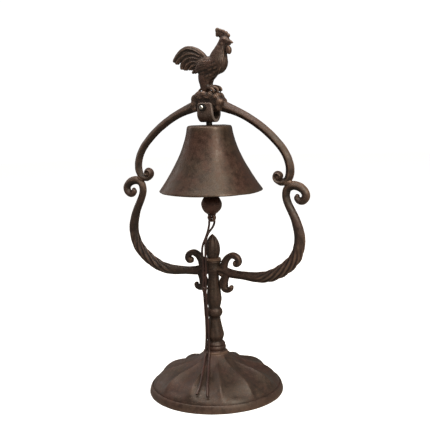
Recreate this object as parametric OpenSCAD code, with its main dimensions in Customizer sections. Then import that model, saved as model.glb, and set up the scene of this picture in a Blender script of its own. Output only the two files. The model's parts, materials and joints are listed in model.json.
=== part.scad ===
// Yard dinner bell: a cast-iron table bell hung in a lyre-shaped stand, with
// a cockerel on top and a leather lace on the clapper. Millimetres, +Z up,
// origin at the centre of the base's underside. The lyre stands in the XZ
// plane, the cockerel faces +X, and the front is -Y.

/* [Base dish] */
// Radius of the round base
base_r = 67; // [62:0.5:72]
// Height of the plain band around the base
rim_h = 7.5; // [6:0.5:9]
// Number of raised ribs on the dish
rib_count = 12; // [8:1:16]
// Height of a rib above the hollow beside it
rib_h = 2.2; // [0.5:0.1:3]
// Wall thickness of the dish
dish_wall = 4.5; // [4:0.5:5]

/* [Lyre frame] */
// Half depth of the frame bars, front to back
bar_half_depth = 4.2; // [3.5:0.1:4.5]
// Height of the hub where the two arms meet
hub_z = 124; // [122:0.5:126]
// Half depth of the rocky crown, front to back
crown_half_depth = 6.8; // [6:0.1:6.9]

/* [Bell] */
// Height of the pivot bolt's axis above the ground
pivot_z = 282; // [280:0.5:284]
// Height of the flat top of the bell
bell_top_z = 264.5; // [263:0.5:266]
// Height of the bell from lip to flat top
bell_h = 62; // [58:1:64]
// Outer radius of the bell at its flat top
bell_top_r = 21.8; // [20:0.2:24]
// Outer radius of the bell's lip
bell_lip_r = 50.2; // [46:0.2:51]
// Wall thickness of the bell
bell_wall = 3.5; // [3:0.1:4]

/* [Clapper] */
// Radius of the clapper ball
ball_r = 10.3; // [9:0.1:10.5]
// Height of the centre of the ball
ball_z = 188; // [186:0.5:190]
// Radius of the leather lace
lace_r = 1.1; // [0.9:0.1:1.1]

/* [Hidden] */

iron = "#4d423b";
dark_iron = "#3a322d";
steel = "#a7a29b";
leather = "#3b221b";

// Running clearance on the radius of the pivot
run_gap = 0.06;
// Gap left between flat or curved faces that move past each other
free_gap = 0.4;
bolt_r = 2;
leg_outer = 10.35;
leg_t = 3;
clevis_w = 17;
clevis_bottom_z = 267.5;
hanger_r = 1.9;
nut_h = 3.2;
m4_nut_flats = 7;

// Eye of the hanger, the link in it, and the clapper's own eye, from above
eye_z = 252.5;
eye_ring_r = 5;
eye_wire_r = 1.4;
link_ring_r = 5.5;
link_wire_r = 1.1;
link_z = eye_z - eye_ring_r + eye_wire_r + link_wire_r + free_gap - link_ring_r;
swing_z = link_z - link_ring_r;
rod_ring_r = 4.2;
rod_wire_r = 1.3;
rod_eye_z = swing_z + link_wire_r + free_gap + rod_wire_r - rod_ring_r;
rod_r = 1.7;
// Flat knob under the ball, and the lace's hole through it
knob_z = 175.2;
knob_r = 4.5;
knob_t = 4.4;
lace_hole_z = 174.9;
lace_hole_r = 1.7;

// Catmull-Rom curve through the points of P, n steps to a span
function at(P, i) = P[min(max(i, 0), len(P) - 1)];
function span_point(a, b, c, d, t) =
    0.5 * (2 * b + (c - a) * t + (2 * a - 5 * b + 4 * c - d) * t * t
        + (3 * b - a - 3 * c + d) * t * t * t);
function curve(P, n) = concat(
    [for (i = [0 : len(P) - 2]) for (k = [0 : n - 1])
        span_point(at(P, i - 1), P[i], P[i + 1], at(P, i + 2), k / n)],
    [P[len(P) - 1]]);
function unit(v) = v / norm(v);
function sgn_pow(v, p) = sign(v) * pow(abs(v), p);

// Side faces of a tube of rings, each ring of m points, and its two ends
function tube_faces(rings, m) = concat(
    [[for (j = [m - 1 : -1 : 0]) j]],
    [for (i = [0 : rings - 2]) for (j = [0 : m - 1])
        [i * m + j, (i + 1) * m + (j + 1) % m, (i + 1) * m + j]],
    [for (i = [0 : rings - 2]) for (j = [0 : m - 1])
        [i * m + j, i * m + (j + 1) % m, (i + 1) * m + (j + 1) % m]],
    [[for (j = [0 : m - 1]) (rings - 1) * m + j]]);

// Cast bar in an XZ plane. Each point of P is [x, z, half width, half depth, y].
module cast_bar(P, n = 3, m = 12) {
    C = curve(P, n);
    last = len(C) - 1;
    points = [for (i = [0 : last])
        let (a = C[max(i - 1, 0)], b = C[min(i + 1, last)], c = C[i])
        let (t = unit([b[0] - a[0], b[1] - a[1]]))
        for (j = [0 : m - 1])
            let (u = sgn_pow(cos(360 * j / m), 0.8) * c[2])
            let (w = sgn_pow(sin(360 * j / m), 0.8) * c[3])
            [c[0] - t[1] * u, c[4] + w, c[1] + t[0] * u]];
    polyhedron(points = points, faces = tube_faces(len(C), m), convexity = 8);
}

// Round lace through the points of P, each [x, y, z]
module lace_run(P, n, r, m = 8) {
    C = curve(P, n);
    last = len(C) - 1;
    points = [for (i = [0 : last])
        let (t = unit(C[min(i + 1, last)] - C[max(i - 1, 0)]))
        let (s = unit(cross(t, [1, 0.15, 0])))
        let (w = cross(s, t))
        for (j = [0 : m - 1])
            C[i] + r * cos(360 * j / m) * s + r * sin(360 * j / m) * w];
    polyhedron(points = points, faces = tube_faces(len(C), m), convexity = 8);
}

// Closed ring of round wire: ring radius, wire radius
module wire_ring(ring_r, wire_r) {
    rotate_extrude($fn = 96) translate([ring_r, 0]) circle(r = wire_r, $fn = 48);
}

// Hexagon nut or head with its flats "flats" apart, standing on z = 0
module hexagon(flats, h) {
    cylinder(r = flats / sqrt(3), h = h, $fn = 6);
}

// Height of the dish's top surface at radius r, midway between rib and hollow
flare_h = 17.5;
dome_h = 16.8;
dome_r = 63;
rim_top_r = 64.6;
neck_r = 12.5;
function dish_z(r) = rim_h + 0.5 + dome_h * (1 - pow(min(r, dome_r) / dome_r, 6))
    + flare_h * exp((10 - r) / 13.5);
// Share of the rib height found at radius r: none at the neck and the rim
function rib_share(r) = r < 60 ? min(1, max(0, (r - neck_r) / 30)) : max(0, (dome_r - r) / 3);

rib_steps = 6;
rib_turn = 3;
// Radii at which the dish's section is taken, from the bolt hole outwards
top_radii = [neck_r, 15, 18.5, 24, 31, 38, 45, 51, 56, 60, dome_r];
under_radii = [60, 56, 51, 45, 38, 31, 24, 18.5];

// Top of the dish: radial ribs over a smooth hollow casting
module base_dish() {
    columns = rib_count * rib_steps;
    bore = 2.75;
    boss_z = dish_z(18.5) - dish_wall;
    function rib(a) = pow(abs(cos(a * rib_count / 2)), 3) - 0.42;
    function section(a) = concat(
        [[bore, dish_z(neck_r)]],
        [for (r = top_radii) [r, dish_z(r) + rib_h * rib_share(r) * rib(a)]],
        [[rim_top_r, rim_h], [base_r - 0.4, 3.2], [base_r, 2.4], [base_r, 0], [base_r - 5.5, 0]],
        [for (r = under_radii) [r, dish_z(r) - dish_wall - 1]],
        [[bore, boss_z - 1]]);
    m = len(section(0));
    points = [for (i = [0 : columns - 1])
        let (a = 360 * i / columns)
        for (p = section(a)) [p[0] * cos(a), p[0] * sin(a), p[1]]];
    faces = [for (i = [0 : columns - 1]) for (j = [0 : m - 1]) for (half = [0, 1])
        let (i2 = (i + 1) % columns, j2 = (j + 1) % m)
        half == 0 ? [i * m + j, i2 * m + j2, i * m + j2]
            : [i * m + j, i2 * m + j, i2 * m + j2]];
    color(iron) rotate([0, 0, rib_turn])
        polyhedron(points = points, faces = faces, convexity = 10);
}

stem_seat_z = dish_z(neck_r);
head_top_z = dish_z(18.5) - dish_wall - 1 - 1.2;

module stem_bolt() {
    color(steel) {
        translate([0, 0, head_top_z - 3.5]) hexagon(8, 3.5);
        translate([0, 0, head_top_z - 0.1]) cylinder(r = 2.5, h = 36, $fn = 48);
    }
}

module stem_washer() {
    color(steel) translate([0, 0, head_top_z]) difference() {
        cylinder(r = 6, h = 1.2, $fn = 64);
        translate([0, 0, -1]) cylinder(r = 2.6, h = 4, $fn = 48);
    }
}

// Turned outline of the stem, [radius, height], foot to collar
stem_outline = [[12.2, stem_seat_z], [12.2, 40.2], [10.7, 41.3], [10, 42.2], [10.5, 43.6],
    [10.3, 45.4], [9.5, 46.5], [9.9, 47.6], [9.2, 49.2], [7.6, 51.2], [8.3, 53.6], [9, 56.8],
    [8.4, 60.5], [7.2, 65.5], [6.2, 71], [5.8, 75], [7.5, 77.6], [8, 80], [7.6, 82.4],
    [6.1, 85], [6.8, 88.8], [7.5, 92.8], [7.2, 97], [6.7, 102], [6.1, 108], [5.5, 113],
    [5.4, 117.5], [6.4, 120.5], [7.3, 122.5]];
collar_z = 135;

module stem_column() {
    color(iron) difference() {
        rotate_extrude($fn = 96) polygon(concat([[0, stem_seat_z]], curve(stem_outline, 2),
            [[7.3, 130], [8, 131], [8, 134], [7.2, collar_z], [0, collar_z]]));
        translate([0, 0, stem_seat_z - 1]) cylinder(r = 2.55, h = 26, $fn = 48);
        translate([0, 0, collar_z - 6]) cylinder(r = 2.55, h = 8, $fn = 48);
    }
}

// Pointed bud on a short stub that sits in the top of the stem
module bud_finial() {
    outline = [[5.6, collar_z], [6.6, 138], [7.3, 143], [6.9, 148], [5, 153], [2.2, 157], [0, 159]];
    color(iron) {
        rotate_extrude($fn = 96) polygon(concat([[0, collar_z]], curve(outline, 3)));
        translate([0, 0, collar_z - 5.5]) cylinder(r = 2.5, h = 5.6, $fn = 48);
    }
}

hd = bar_half_depth;

// Lower arm of the lyre: out from the hub, up the side and over into its scroll
module lyre_arm() {
    color(iron) cast_bar([[6, hub_z + 0.5, 3.6, hd, 0], [12, hub_z - 0.7, 4, hd, 0],
        [18, 121, 4.5, hd, 0], [26, 120, 4.2, hd, 0], [36, 119.6, 4.4, hd, 0],
        [48, 119.3, 5.3, hd + 0.6, 0], [59, 121, 5.9, hd + 1, 0], [69.5, 125.5, 6.2, hd + 1.2, 0],
        [79, 132, 6.4, hd + 1.2, 0], [87, 140.5, 6.2, hd + 1, 0], [91, 150, 5.8, hd + 0.6, 0],
        [92.2, 159, 5.5, hd, 0], [91, 168, 5.1, hd, 0], [88, 177.5, 4.5, hd, 0],
        [83.7, 186.4, 4.1, hd, 0], [80, 194.5, 3.9, hd, 0], [79, 201, 3.9, hd, 0],
        [81, 206.6, 4, hd, 0], [86.5, 209.2, 4.2, hd, 0], [93, 207.8, 4.2, hd, 0],
        [97.7, 203.6, 4.1, hd, 0], [98.6, 199, 4, hd, 0], [96, 195.4, 3.4, hd, 0],
        [91.8, 195, 2.9, hd - 0.4, 0], [89, 198, 2.4, hd - 1, 0], [89.4, 200.2, 1.2, hd - 2, 0]]);
}
module lyre_arm_right() lyre_arm();
module lyre_arm_left() mirror([1, 0, 0]) lyre_arm();

// Scroll that stands up beside the bud
module hub_scroll() {
    color(iron) cast_bar([[11, 121, 3.2, hd - 0.5, 0], [12, 127, 3.8, hd - 0.5, 0],
        [13.6, 132.5, 3.4, hd - 0.6, 0], [17.4, 137, 3.1, hd - 0.7, 0], [22, 138.8, 3, hd - 0.7, 0],
        [26.6, 137, 2.9, hd - 0.7, 0], [28.4, 133.3, 2.8, hd - 0.7, 0],
        [26.4, 130.6, 2.7, hd - 0.7, 0], [24.2, 130.6, 1.4, hd - 2, 0]]);
}
module hub_scroll_right() hub_scroll();
module hub_scroll_left() mirror([1, 0, 0]) hub_scroll();

// Small hook that hangs under the arm, against the stem
module hub_hook() {
    color(iron) cast_bar([[14.5, 119.5, 3, hd - 0.6, 0], [11.9, 114.2, 4.4, hd - 0.6, 0],
        [11.2, 109, 4.9, hd - 0.7, 0], [12.6, 104.9, 3.9, hd - 0.8, 0], [16, 103.5, 2.8, hd - 0.9, 0],
        [19.4, 105.2, 2.3, hd - 1, 0], [20.2, 107.6, 1.2, hd - 2, 0]]);
}
module hub_hook_right() hub_hook();
module hub_hook_left() mirror([1, 0, 0]) hub_hook();

// Half of the arch: down from the crown and inward to a round scroll
module arch_half() {
    color(iron) {
        cast_bar([[8, 284, 4.4, hd - 0.2, 0], [16, 282.5, 4.4, hd - 0.2, 0],
            [27, 278.6, 4.2, hd - 0.2, 0], [38, 273.6, 4.1, hd - 0.2, 0],
            [48.5, 267.5, 4.1, hd - 0.2, 0], [59, 260, 4.1, hd - 0.2, 0],
            [68.3, 251.7, 4.1, hd - 0.2, 0], [76, 243, 4.1, hd - 0.2, 0],
            [81, 234.5, 4.2, hd - 0.2, 0], [83.3, 226, 4.4, hd - 0.2, 0],
            [83, 218.5, 4.4, hd - 0.2, 0], [80.2, 213.2, 3.8, hd - 0.2, 0],
            [75.5, 211.4, 3.4, hd - 0.2, 0], [71.5, 213.4, 2.6, hd - 0.2, 0]]);
        translate([71.7, hd + 0.4, 216.6]) rotate([90, 0, 0])
            cylinder(r = 6.4, h = 2 * hd + 0.8, $fn = 64);
    }
}
module arch_right() arch_half();
module arch_left() mirror([1, 0, 0]) arch_half();

// Rocky mound at the top of the arch, drilled for the pivot bolt
module rock_crown() {
    front = curve([[0, 276.3], [7, 276.6], [12.5, 278.2], [16.3, 281.5], [17, 286], [15.5, 291.5],
        [11.5, 296], [6, 298.6], [0, 299]], 2);
    flank = [[-crown_half_depth + 1.6, 270], [-crown_half_depth, 278], [-crown_half_depth, 292],
        [-4, 300], [4, 300], [crown_half_depth, 292], [crown_half_depth, 278],
        [crown_half_depth - 1.6, 270]];
    color(iron) difference() {
        intersection() {
            translate([0, 10, 0]) rotate([90, 0, 0]) linear_extrude(height = 20)
                polygon(concat(front, [for (i = [len(front) - 2 : -1 : 1]) [-front[i][0], front[i][1]]]));
            rotate([90, 0, 90]) translate([0, 0, -20]) linear_extrude(height = 40) polygon(flank);
        }
        translate([0, 10, pivot_z]) rotate([90, 0, 0])
            cylinder(r = bolt_r + 0.05, h = 20, $fn = 48);
    }
}

// Chain of blended balls, each point [x, y, z, radius]
module ball_chain(P, fn = 16) {
    for (i = [0 : len(P) - 2]) hull() {
        translate([P[i][0], P[i][1], P[i][2]]) sphere(r = P[i][3], $fn = fn);
        translate([P[i + 1][0], P[i + 1][1], P[i + 1][2]]) sphere(r = P[i + 1][3], $fn = fn);
    }
}

module cockerel() {
    color(iron) {
        scale([1, 0.78, 1]) {
            ball_chain([[-9, 0, 317, 6.5], [-2, 0, 318.4, 9], [7, 0, 318.6, 10], [12, 0, 321.5, 9.2],
                [13.4, 0, 327.5, 8], [14.4, 0, 333.5, 6.1], [15.8, 0, 338.8, 5], [18, 0, 343, 4.8]]);
            ball_chain([[20.5, 0, 342.2, 2.8], [27.6, 0, 341, 0.9]]);
            ball_chain([[22, 0, 338.5, 1.6], [23, 0, 333.6, 2.7]]);
        }
        scale([1, 0.5, 1]) {
            ball_chain([[-3, 0, 324, 6.5], [-9.5, 0, 331.5, 6], [-18, 0, 335, 5.4],
                [-27, 0, 333, 4.6], [-34.6, 0, 327.6, 3.6], [-35.6, 0, 324.4, 2.2]]);
            ball_chain([[-6, 0, 320, 7], [-14, 0, 328, 7], [-23, 0, 327.5, 5], [-30.6, 0, 324.4, 2.6]]);
            ball_chain([[-8, 0, 318, 7], [-17, 0, 322.4, 5.4], [-23, 0, 320.4, 3.4], [-25.2, 0, 318, 1.8]]);
            ball_chain([[-8, 0, 316, 6], [-15, 0, 319, 4], [-19.6, 0, 317.8, 1.8]]);
        }
        for (y = [-4.2, 4.2]) {
            ball_chain([[-4, y * 0.8, 313, 5.4], [-3.2, y, 306.5, 3.4], [-2, y, 302, 2.3],
                [-1, y, 299.6, 2.2], [6, y, 299.4, 1.8], [12.2, y * 0.7, 298.6, 1.6]], 12);
        }
        translate([0, 1.6, 0]) rotate([90, 0, 0]) linear_extrude(height = 3.2)
            polygon([[9, 355.8], [15, 354], [19.4, 351.4], [22.9, 349.8], [24.8, 347], [25.4, 343.2],
                [20, 341], [14, 341], [12.2, 345], [10.6, 347.6], [8.4, 352]]);
    }
}

module pivot_bolt() {
    color(steel) {
        translate([0, leg_outer + free_gap, pivot_z]) rotate([-90, 0, 0])
            rotate([0, 0, 30]) hexagon(m4_nut_flats, 2.8);
        translate([0, leg_outer + free_gap + 0.1, pivot_z]) rotate([90, 0, 0])
            cylinder(r = bolt_r, h = 2 * leg_outer + 2 * free_gap + nut_h + 2.1, $fn = 48);
    }
}

module pivot_nut() {
    color(dark_iron) translate([0, -leg_outer - free_gap, pivot_z]) rotate([90, 0, 0])
        difference() {
            rotate([0, 0, 30]) hexagon(m4_nut_flats, nut_h);
            translate([0, 0, -1]) cylinder(r = bolt_r + 0.05, h = nut_h + 2, $fn = 48);
        }
}

// Flat strap bent to a U around the crown, with a hole in each leg and one below
module clevis() {
    bend_z = clevis_bottom_z + leg_outer;
    leg_top_z = 287.6;
    top_half_w = 7.4;
    half_w = clevis_w / 2;
    module u_shape(r, side) {
        translate([-side, 0, bend_z]) rotate([0, 90, 0]) cylinder(r = r, h = 2 * side, $fn = 96);
        translate([-side, -r, bend_z]) cube([2 * side, 2 * r, 30]);
    }
    color("#6a5c55") difference() {
        intersection() {
            u_shape(leg_outer, half_w);
            translate([0, 15, 0]) rotate([90, 0, 0]) linear_extrude(height = 30)
                polygon([[-half_w, 260], [half_w, 260], [half_w, 272], [top_half_w, leg_top_z - 1.2],
                    [top_half_w - 1.2, leg_top_z], [1.2 - top_half_w, leg_top_z],
                    [-top_half_w, leg_top_z - 1.2], [-half_w, 272]]);
        }
        u_shape(leg_outer - leg_t, half_w + 1);
        translate([0, 20, pivot_z]) rotate([90, 0, 0])
            cylinder(r = bolt_r + run_gap, h = 40, $fn = 48);
        translate([0, 0, clevis_bottom_z - 1]) cylinder(r = hanger_r + 0.1, h = 6, $fn = 48);
    }
}

module washer(r, h, z) {
    translate([0, 0, z]) difference() {
        cylinder(r = r, h = h, $fn = 64);
        translate([0, 0, -1]) cylinder(r = hanger_r + 0.1, h = h + 2, $fn = 48);
    }
}

module hanger_spacer() {
    color(dark_iron) washer(3, clevis_bottom_z - bell_top_z, bell_top_z);
}

hanger_nut_flats = 6.4;
// The nut's corners bear on the inner bend, so its seat is a little above it
nut_seat_z = clevis_bottom_z + leg_t + 0.9;
module hanger_nut() {
    color(steel) translate([0, 0, nut_seat_z]) difference() {
        hexagon(hanger_nut_flats, nut_h);
        translate([0, 0, -1]) cylinder(r = hanger_r + 0.05, h = nut_h + 2, $fn = 48);
    }
}

crown_under_z = bell_top_z - bell_wall;
module hanger_washer() {
    color(steel) washer(5.5, 1, crown_under_z - 1);
}

// Bolt that holds the bell to the clevis, ending below in a ring
module hanger_eyebolt() {
    shoulder_z = eye_z + eye_ring_r - 0.4;
    color(steel) {
        translate([0, 0, shoulder_z]) cylinder(r = hanger_r, h = nut_seat_z + nut_h - shoulder_z, $fn = 48);
        translate([0, 0, shoulder_z]) cylinder(r = 3.4, h = crown_under_z - 1 - shoulder_z, $fn = 48);
        translate([0, 0, eye_z]) rotate([90, 0, 0]) wire_ring(eye_ring_r, eye_wire_r);
    }
}

bell_lip_z = bell_top_z - bell_h;
// Flare of the bell: outer radius at a share t of its height below the top
function bell_r(t) = bell_top_r + (bell_lip_r - bell_top_r) * pow(t, 1.6);

module bell_shell() {
    steps = 20;
    outer = [for (i = [0 : steps]) [bell_r(i / steps), bell_top_z - bell_h * i / steps]];
    lip = [[bell_lip_r - 0.5, bell_lip_z - 0.9], [bell_lip_r - 1.8, bell_lip_z - 1.2],
        [bell_lip_r - 3.2, bell_lip_z - 0.9]];
    inner = [for (i = [steps : -1 : 1])
        [bell_r(i / steps) - bell_wall - 0.4, bell_top_z - bell_h * i / steps]];
    color(iron) difference() {
        rotate_extrude($fn = 128) polygon(concat([[0, bell_top_z]], outer, lip,
            [for (p = inner) if (p[1] < crown_under_z) p],
            [[bell_top_r - bell_wall - 0.3, crown_under_z], [0, crown_under_z]]));
        translate([0, 0, crown_under_z - 1]) cylinder(r = hanger_r + 0.1, h = 8, $fn = 48);
    }
}

module clapper_link() {
    color(steel) translate([0, 0, link_z]) rotate([0, 90, 0]) wire_ring(link_ring_r, link_wire_r);
}

rod_foot_z = ball_z + ball_r - 0.6;
module clapper_rod() {
    color(dark_iron) {
        translate([0, 0, rod_eye_z]) rotate([90, 0, 0]) wire_ring(rod_ring_r, rod_wire_r);
        translate([0, 0, rod_foot_z]) cylinder(r = rod_r, h = rod_eye_z - rod_ring_r - rod_foot_z, $fn = 48);
    }
}

// Cast ball with a flat knob below, drilled for the lace
module clapper_ball() {
    color(iron) difference() {
        union() {
            translate([0, 0, ball_z]) sphere(r = ball_r, $fn = 72);
            translate([0, knob_t / 2, knob_z]) rotate([90, 0, 0]) cylinder(r = knob_r, h = knob_t, $fn = 48);
        }
        translate([0, 10, lace_hole_z]) rotate([90, 0, 0]) cylinder(r = lace_hole_r, h = 20, $fn = 48);
        translate([0, 0, rod_foot_z]) cylinder(r = rod_r, h = 8, $fn = 48);
    }
}

// Lace: one leather bootlace through the knob, both halves hanging down over
// the front of the stem, tied together once and lying out on the dish
bight_route = [[-1, -4.3, 168], [-0.7, -4.2, 171.6], [-0.3, -3.2, 174.4], [0, 0, 175],
    [0.2, 3.2, 174.4], [0.4, 4.2, 171.6], [0, 4.1, 168]];
left_route = [[-1.0, -4.3, 168], [-2.0, -5.4, 162], [-3.7, -7.4, 155.5], [-5.6, -9.6, 149],
    [-6.2, -10.4, 143], [-5.9, -10.2, 134], [-5.9, -9.9, 123], [-6.2, -10, 112],
    [-6.3, -9.9, 105], [-5.9, -9.4, 97], [-5.5, -9.6, 90], [-4.9, -9.8, 80],
    [-4.4, -9.9, 70], [-4.3, -10.3, 58], [-4.4, -11.1, 50], [-4.5, -12.2, 44],
    [-4.2, -14, 39.5], [-3.0, -17.5, 36.6], [-1.0, -22, 33.8], [1.0, -27, 31.8],
    [3.4, -33, 29.8], [6.0, -39.5, 27.5], [8.5, -46, 24.8], [10.0, -52, 21.3],
    [10.2, -58, 16.4]];
right_route = [[0.0, 4.1, 168], [-1.5, 2.4, 164], [-3.4, -1.2, 160], [-4.1, -4.6, 155.5],
    [-3.7, -7.8, 149.5], [-3.3, -8.9, 143], [-3.3, -9.5, 134], [-3.4, -9.2, 123],
    [-3.8, -9.5, 112], [-4.0, -9.9, 105], [-3.6, -10.2, 97], [-3.1, -10.3, 90],
    [-2.5, -10.3, 80], [-2.0, -10.2, 70], [-1.5, -10.8, 58], [-1.0, -11.6, 50],
    [-0.4, -12.6, 44], [0.6, -14.8, 39.6], [2.2, -18.4, 36.2], [4.0, -22, 33.5],
    [6.4, -27, 30.7], [9.0, -32, 28.6], [12.0, -38.5, 26.3], [15.0, -45, 23.6],
    [18.0, -51, 19.8], [20.6, -56, 14.8]];
knot_at = [-5.15, -9.9, 105];
knot_r = 3.6;

module lace_hitch() {
    color(leather) lace_run(bight_route, 2, lace_r);
}
module lace_strand_left() {
    color(leather) lace_run(left_route, 1, lace_r);
}
module lace_strand_right() {
    color(leather) lace_run(right_route, 1, lace_r);
}
module lace_knot() {
    color(leather) translate(knot_at) sphere(r = knot_r, $fn = 48);
}

base_dish();
stem_bolt();
stem_washer();
stem_column();
bud_finial();
lyre_arm_left();
lyre_arm_right();
hub_scroll_left();
hub_scroll_right();
hub_hook_left();
hub_hook_right();
arch_left();
arch_right();
rock_crown();
cockerel();
pivot_bolt();
pivot_nut();
clevis();
hanger_spacer();
hanger_nut();
hanger_washer();
hanger_eyebolt();
bell_shell();
clapper_link();
clapper_rod();
clapper_ball();
lace_hitch();
lace_strand_left();
lace_strand_right();
lace_knot();
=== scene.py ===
"""Looks of the yard dinner bell: a cast-iron table bell in a lyre stand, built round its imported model."""

from __future__ import annotations

import json
import logging
import math
import random
from collections.abc import Callable, Sequence
from dataclasses import dataclass
from enum import Enum

import bmesh
import bpy
import numpy as np
from mathutils import Matrix, Vector, noise
from mathutils.bvhtree import BVHTree


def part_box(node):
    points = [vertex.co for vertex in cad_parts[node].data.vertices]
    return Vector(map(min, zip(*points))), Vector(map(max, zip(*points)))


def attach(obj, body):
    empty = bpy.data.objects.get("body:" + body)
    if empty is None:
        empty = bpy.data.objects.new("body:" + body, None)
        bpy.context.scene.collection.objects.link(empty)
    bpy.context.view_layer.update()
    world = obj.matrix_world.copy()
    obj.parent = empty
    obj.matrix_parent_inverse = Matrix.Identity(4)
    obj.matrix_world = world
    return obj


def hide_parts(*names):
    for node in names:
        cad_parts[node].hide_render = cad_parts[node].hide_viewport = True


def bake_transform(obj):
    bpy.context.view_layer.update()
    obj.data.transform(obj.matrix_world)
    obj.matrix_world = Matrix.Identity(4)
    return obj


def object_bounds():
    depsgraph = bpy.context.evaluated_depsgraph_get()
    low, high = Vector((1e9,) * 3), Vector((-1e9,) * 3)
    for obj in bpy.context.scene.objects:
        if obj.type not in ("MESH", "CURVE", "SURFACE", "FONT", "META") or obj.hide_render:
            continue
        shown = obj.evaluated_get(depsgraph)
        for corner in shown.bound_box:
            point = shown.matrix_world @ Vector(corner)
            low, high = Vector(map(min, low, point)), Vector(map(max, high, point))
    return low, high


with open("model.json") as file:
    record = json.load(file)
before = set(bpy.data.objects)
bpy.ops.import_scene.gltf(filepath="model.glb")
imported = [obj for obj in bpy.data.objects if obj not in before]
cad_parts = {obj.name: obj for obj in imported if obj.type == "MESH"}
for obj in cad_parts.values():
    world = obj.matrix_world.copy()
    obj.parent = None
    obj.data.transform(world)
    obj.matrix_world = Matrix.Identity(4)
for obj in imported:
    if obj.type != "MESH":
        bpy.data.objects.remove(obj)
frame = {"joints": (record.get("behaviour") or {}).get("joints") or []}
CAD_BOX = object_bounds()
MM = 0.001
IMAGE_SIDE = 430
SENSOR_MM = 36.0
# Rounds of averaging behind the relief of machined pieces, which have only small edges
FINE_RELIEF = 2

log = logging.getLogger("dinner_bell")

Ring = list[Vector]
Colour = tuple[float, float, float]
Point = Sequence[float]
Socket = bpy.types.NodeSocket


class Body(Enum):
    """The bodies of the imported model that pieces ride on."""

    STAND = "stand"
    BELL = "bell"
    LINK = "clapper_link"
    CLAPPER = "clapper"


class Side(Enum):
    """Which half of the lyre a casting is on, as the sign of its X."""

    LEFT = -1
    RIGHT = 1


# ---------------------------------------------------------------- small helpers


def smooth(low: float, high: float, value: float) -> float:
    """Smooth step from 0 at low to 1 at high."""
    t = min(max((value - low) / (high - low), 0.0), 1.0)
    return t * t * (3 - 2 * t)


def between(p: float, q: float, r: float, s: float, t: float) -> float:
    """Catmull-Rom value at a share t of the way from q to r."""
    return 0.5 * (2 * q + (r - p) * t + (2 * p - 5 * q + 4 * r - s) * t * t + (3 * q - p - 3 * r + s) * t**3)


def curve(points: Sequence[Point], steps: int) -> list[tuple[float, ...]]:
    """Catmull-Rom curve through given points.

    Args:
        points: The points, each with any number of values.
        steps: How many steps each span is cut into.

    Returns:
        The points of the curve, first and last ones included.
    """
    last = len(points) - 1
    out: list[tuple[float, ...]] = []
    for i in range(last):
        a, b = points[max(i - 1, 0)], points[i]
        c, d = points[i + 1], points[min(i + 2, last)]
        for k in range(steps):
            t = k / steps
            out.append(tuple(between(*near, t) for near in zip(a, b, c, d)))
    out.append(tuple(float(v) for v in points[-1]))
    return out


def box_mm(node: str) -> tuple[tuple[float, ...], tuple[float, ...]]:
    """Lower and upper corner of a node's box, in millimetres."""
    low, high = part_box(node)
    return tuple(v / MM for v in low), tuple(v / MM for v in high)


def grain(place: Vector, size: float, seed: float) -> float:
    """Smooth noise from -1 to 1 at a place, with lumps of the given size in millimetres."""
    return noise.noise(place / size + Vector((seed, 2.7 * seed, -seed)))


# ---------------------------------------------------------------- mesh helpers, in millimetres


def loft(bm: bmesh.types.BMesh, rings: Sequence[Ring], capped: bool = True) -> None:
    """Skins a tube through rings of points by extruding each ring to the next.

    Args:
        bm: The mesh that the tube is added to.
        rings: Rings with the same number of points each.
        capped: Whether the two ends are filled.
    """
    part = bmesh.new()
    verts = bmesh.ops.create_circle(part, cap_ends=False, segments=len(rings[0]), radius=1.0)["verts"]
    for vert, place in zip(verts, rings[0]):
        vert.co = place
    edges = list({e for v in verts for e in v.link_edges})
    first_edges = edges
    for places in rings[1:]:
        made = bmesh.ops.extrude_edge_only(part, edges=edges)["geom"]
        fresh = {g for g in made if isinstance(g, bmesh.types.BMVert)}
        edges = [g for g in made if isinstance(g, bmesh.types.BMEdge)]
        verts = [next(e.other_vert(v) for e in v.link_edges if e.other_vert(v) in fresh) for v in verts]
        for vert, place in zip(verts, places):
            vert.co = place
    if capped:
        bmesh.ops.edgeloop_fill(part, edges=first_edges)
        bmesh.ops.edgeloop_fill(part, edges=edges)
    bmesh.ops.recalc_face_normals(part, faces=part.faces)
    join(bm, part)


def join(bm: bmesh.types.BMesh, part: bmesh.types.BMesh) -> None:
    """Adds a part to a mesh, and frees the part."""
    carrier = bpy.data.meshes.new("carrier")
    part.to_mesh(carrier)
    part.free()
    bm.from_mesh(carrier)
    bpy.data.meshes.remove(carrier)


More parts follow.
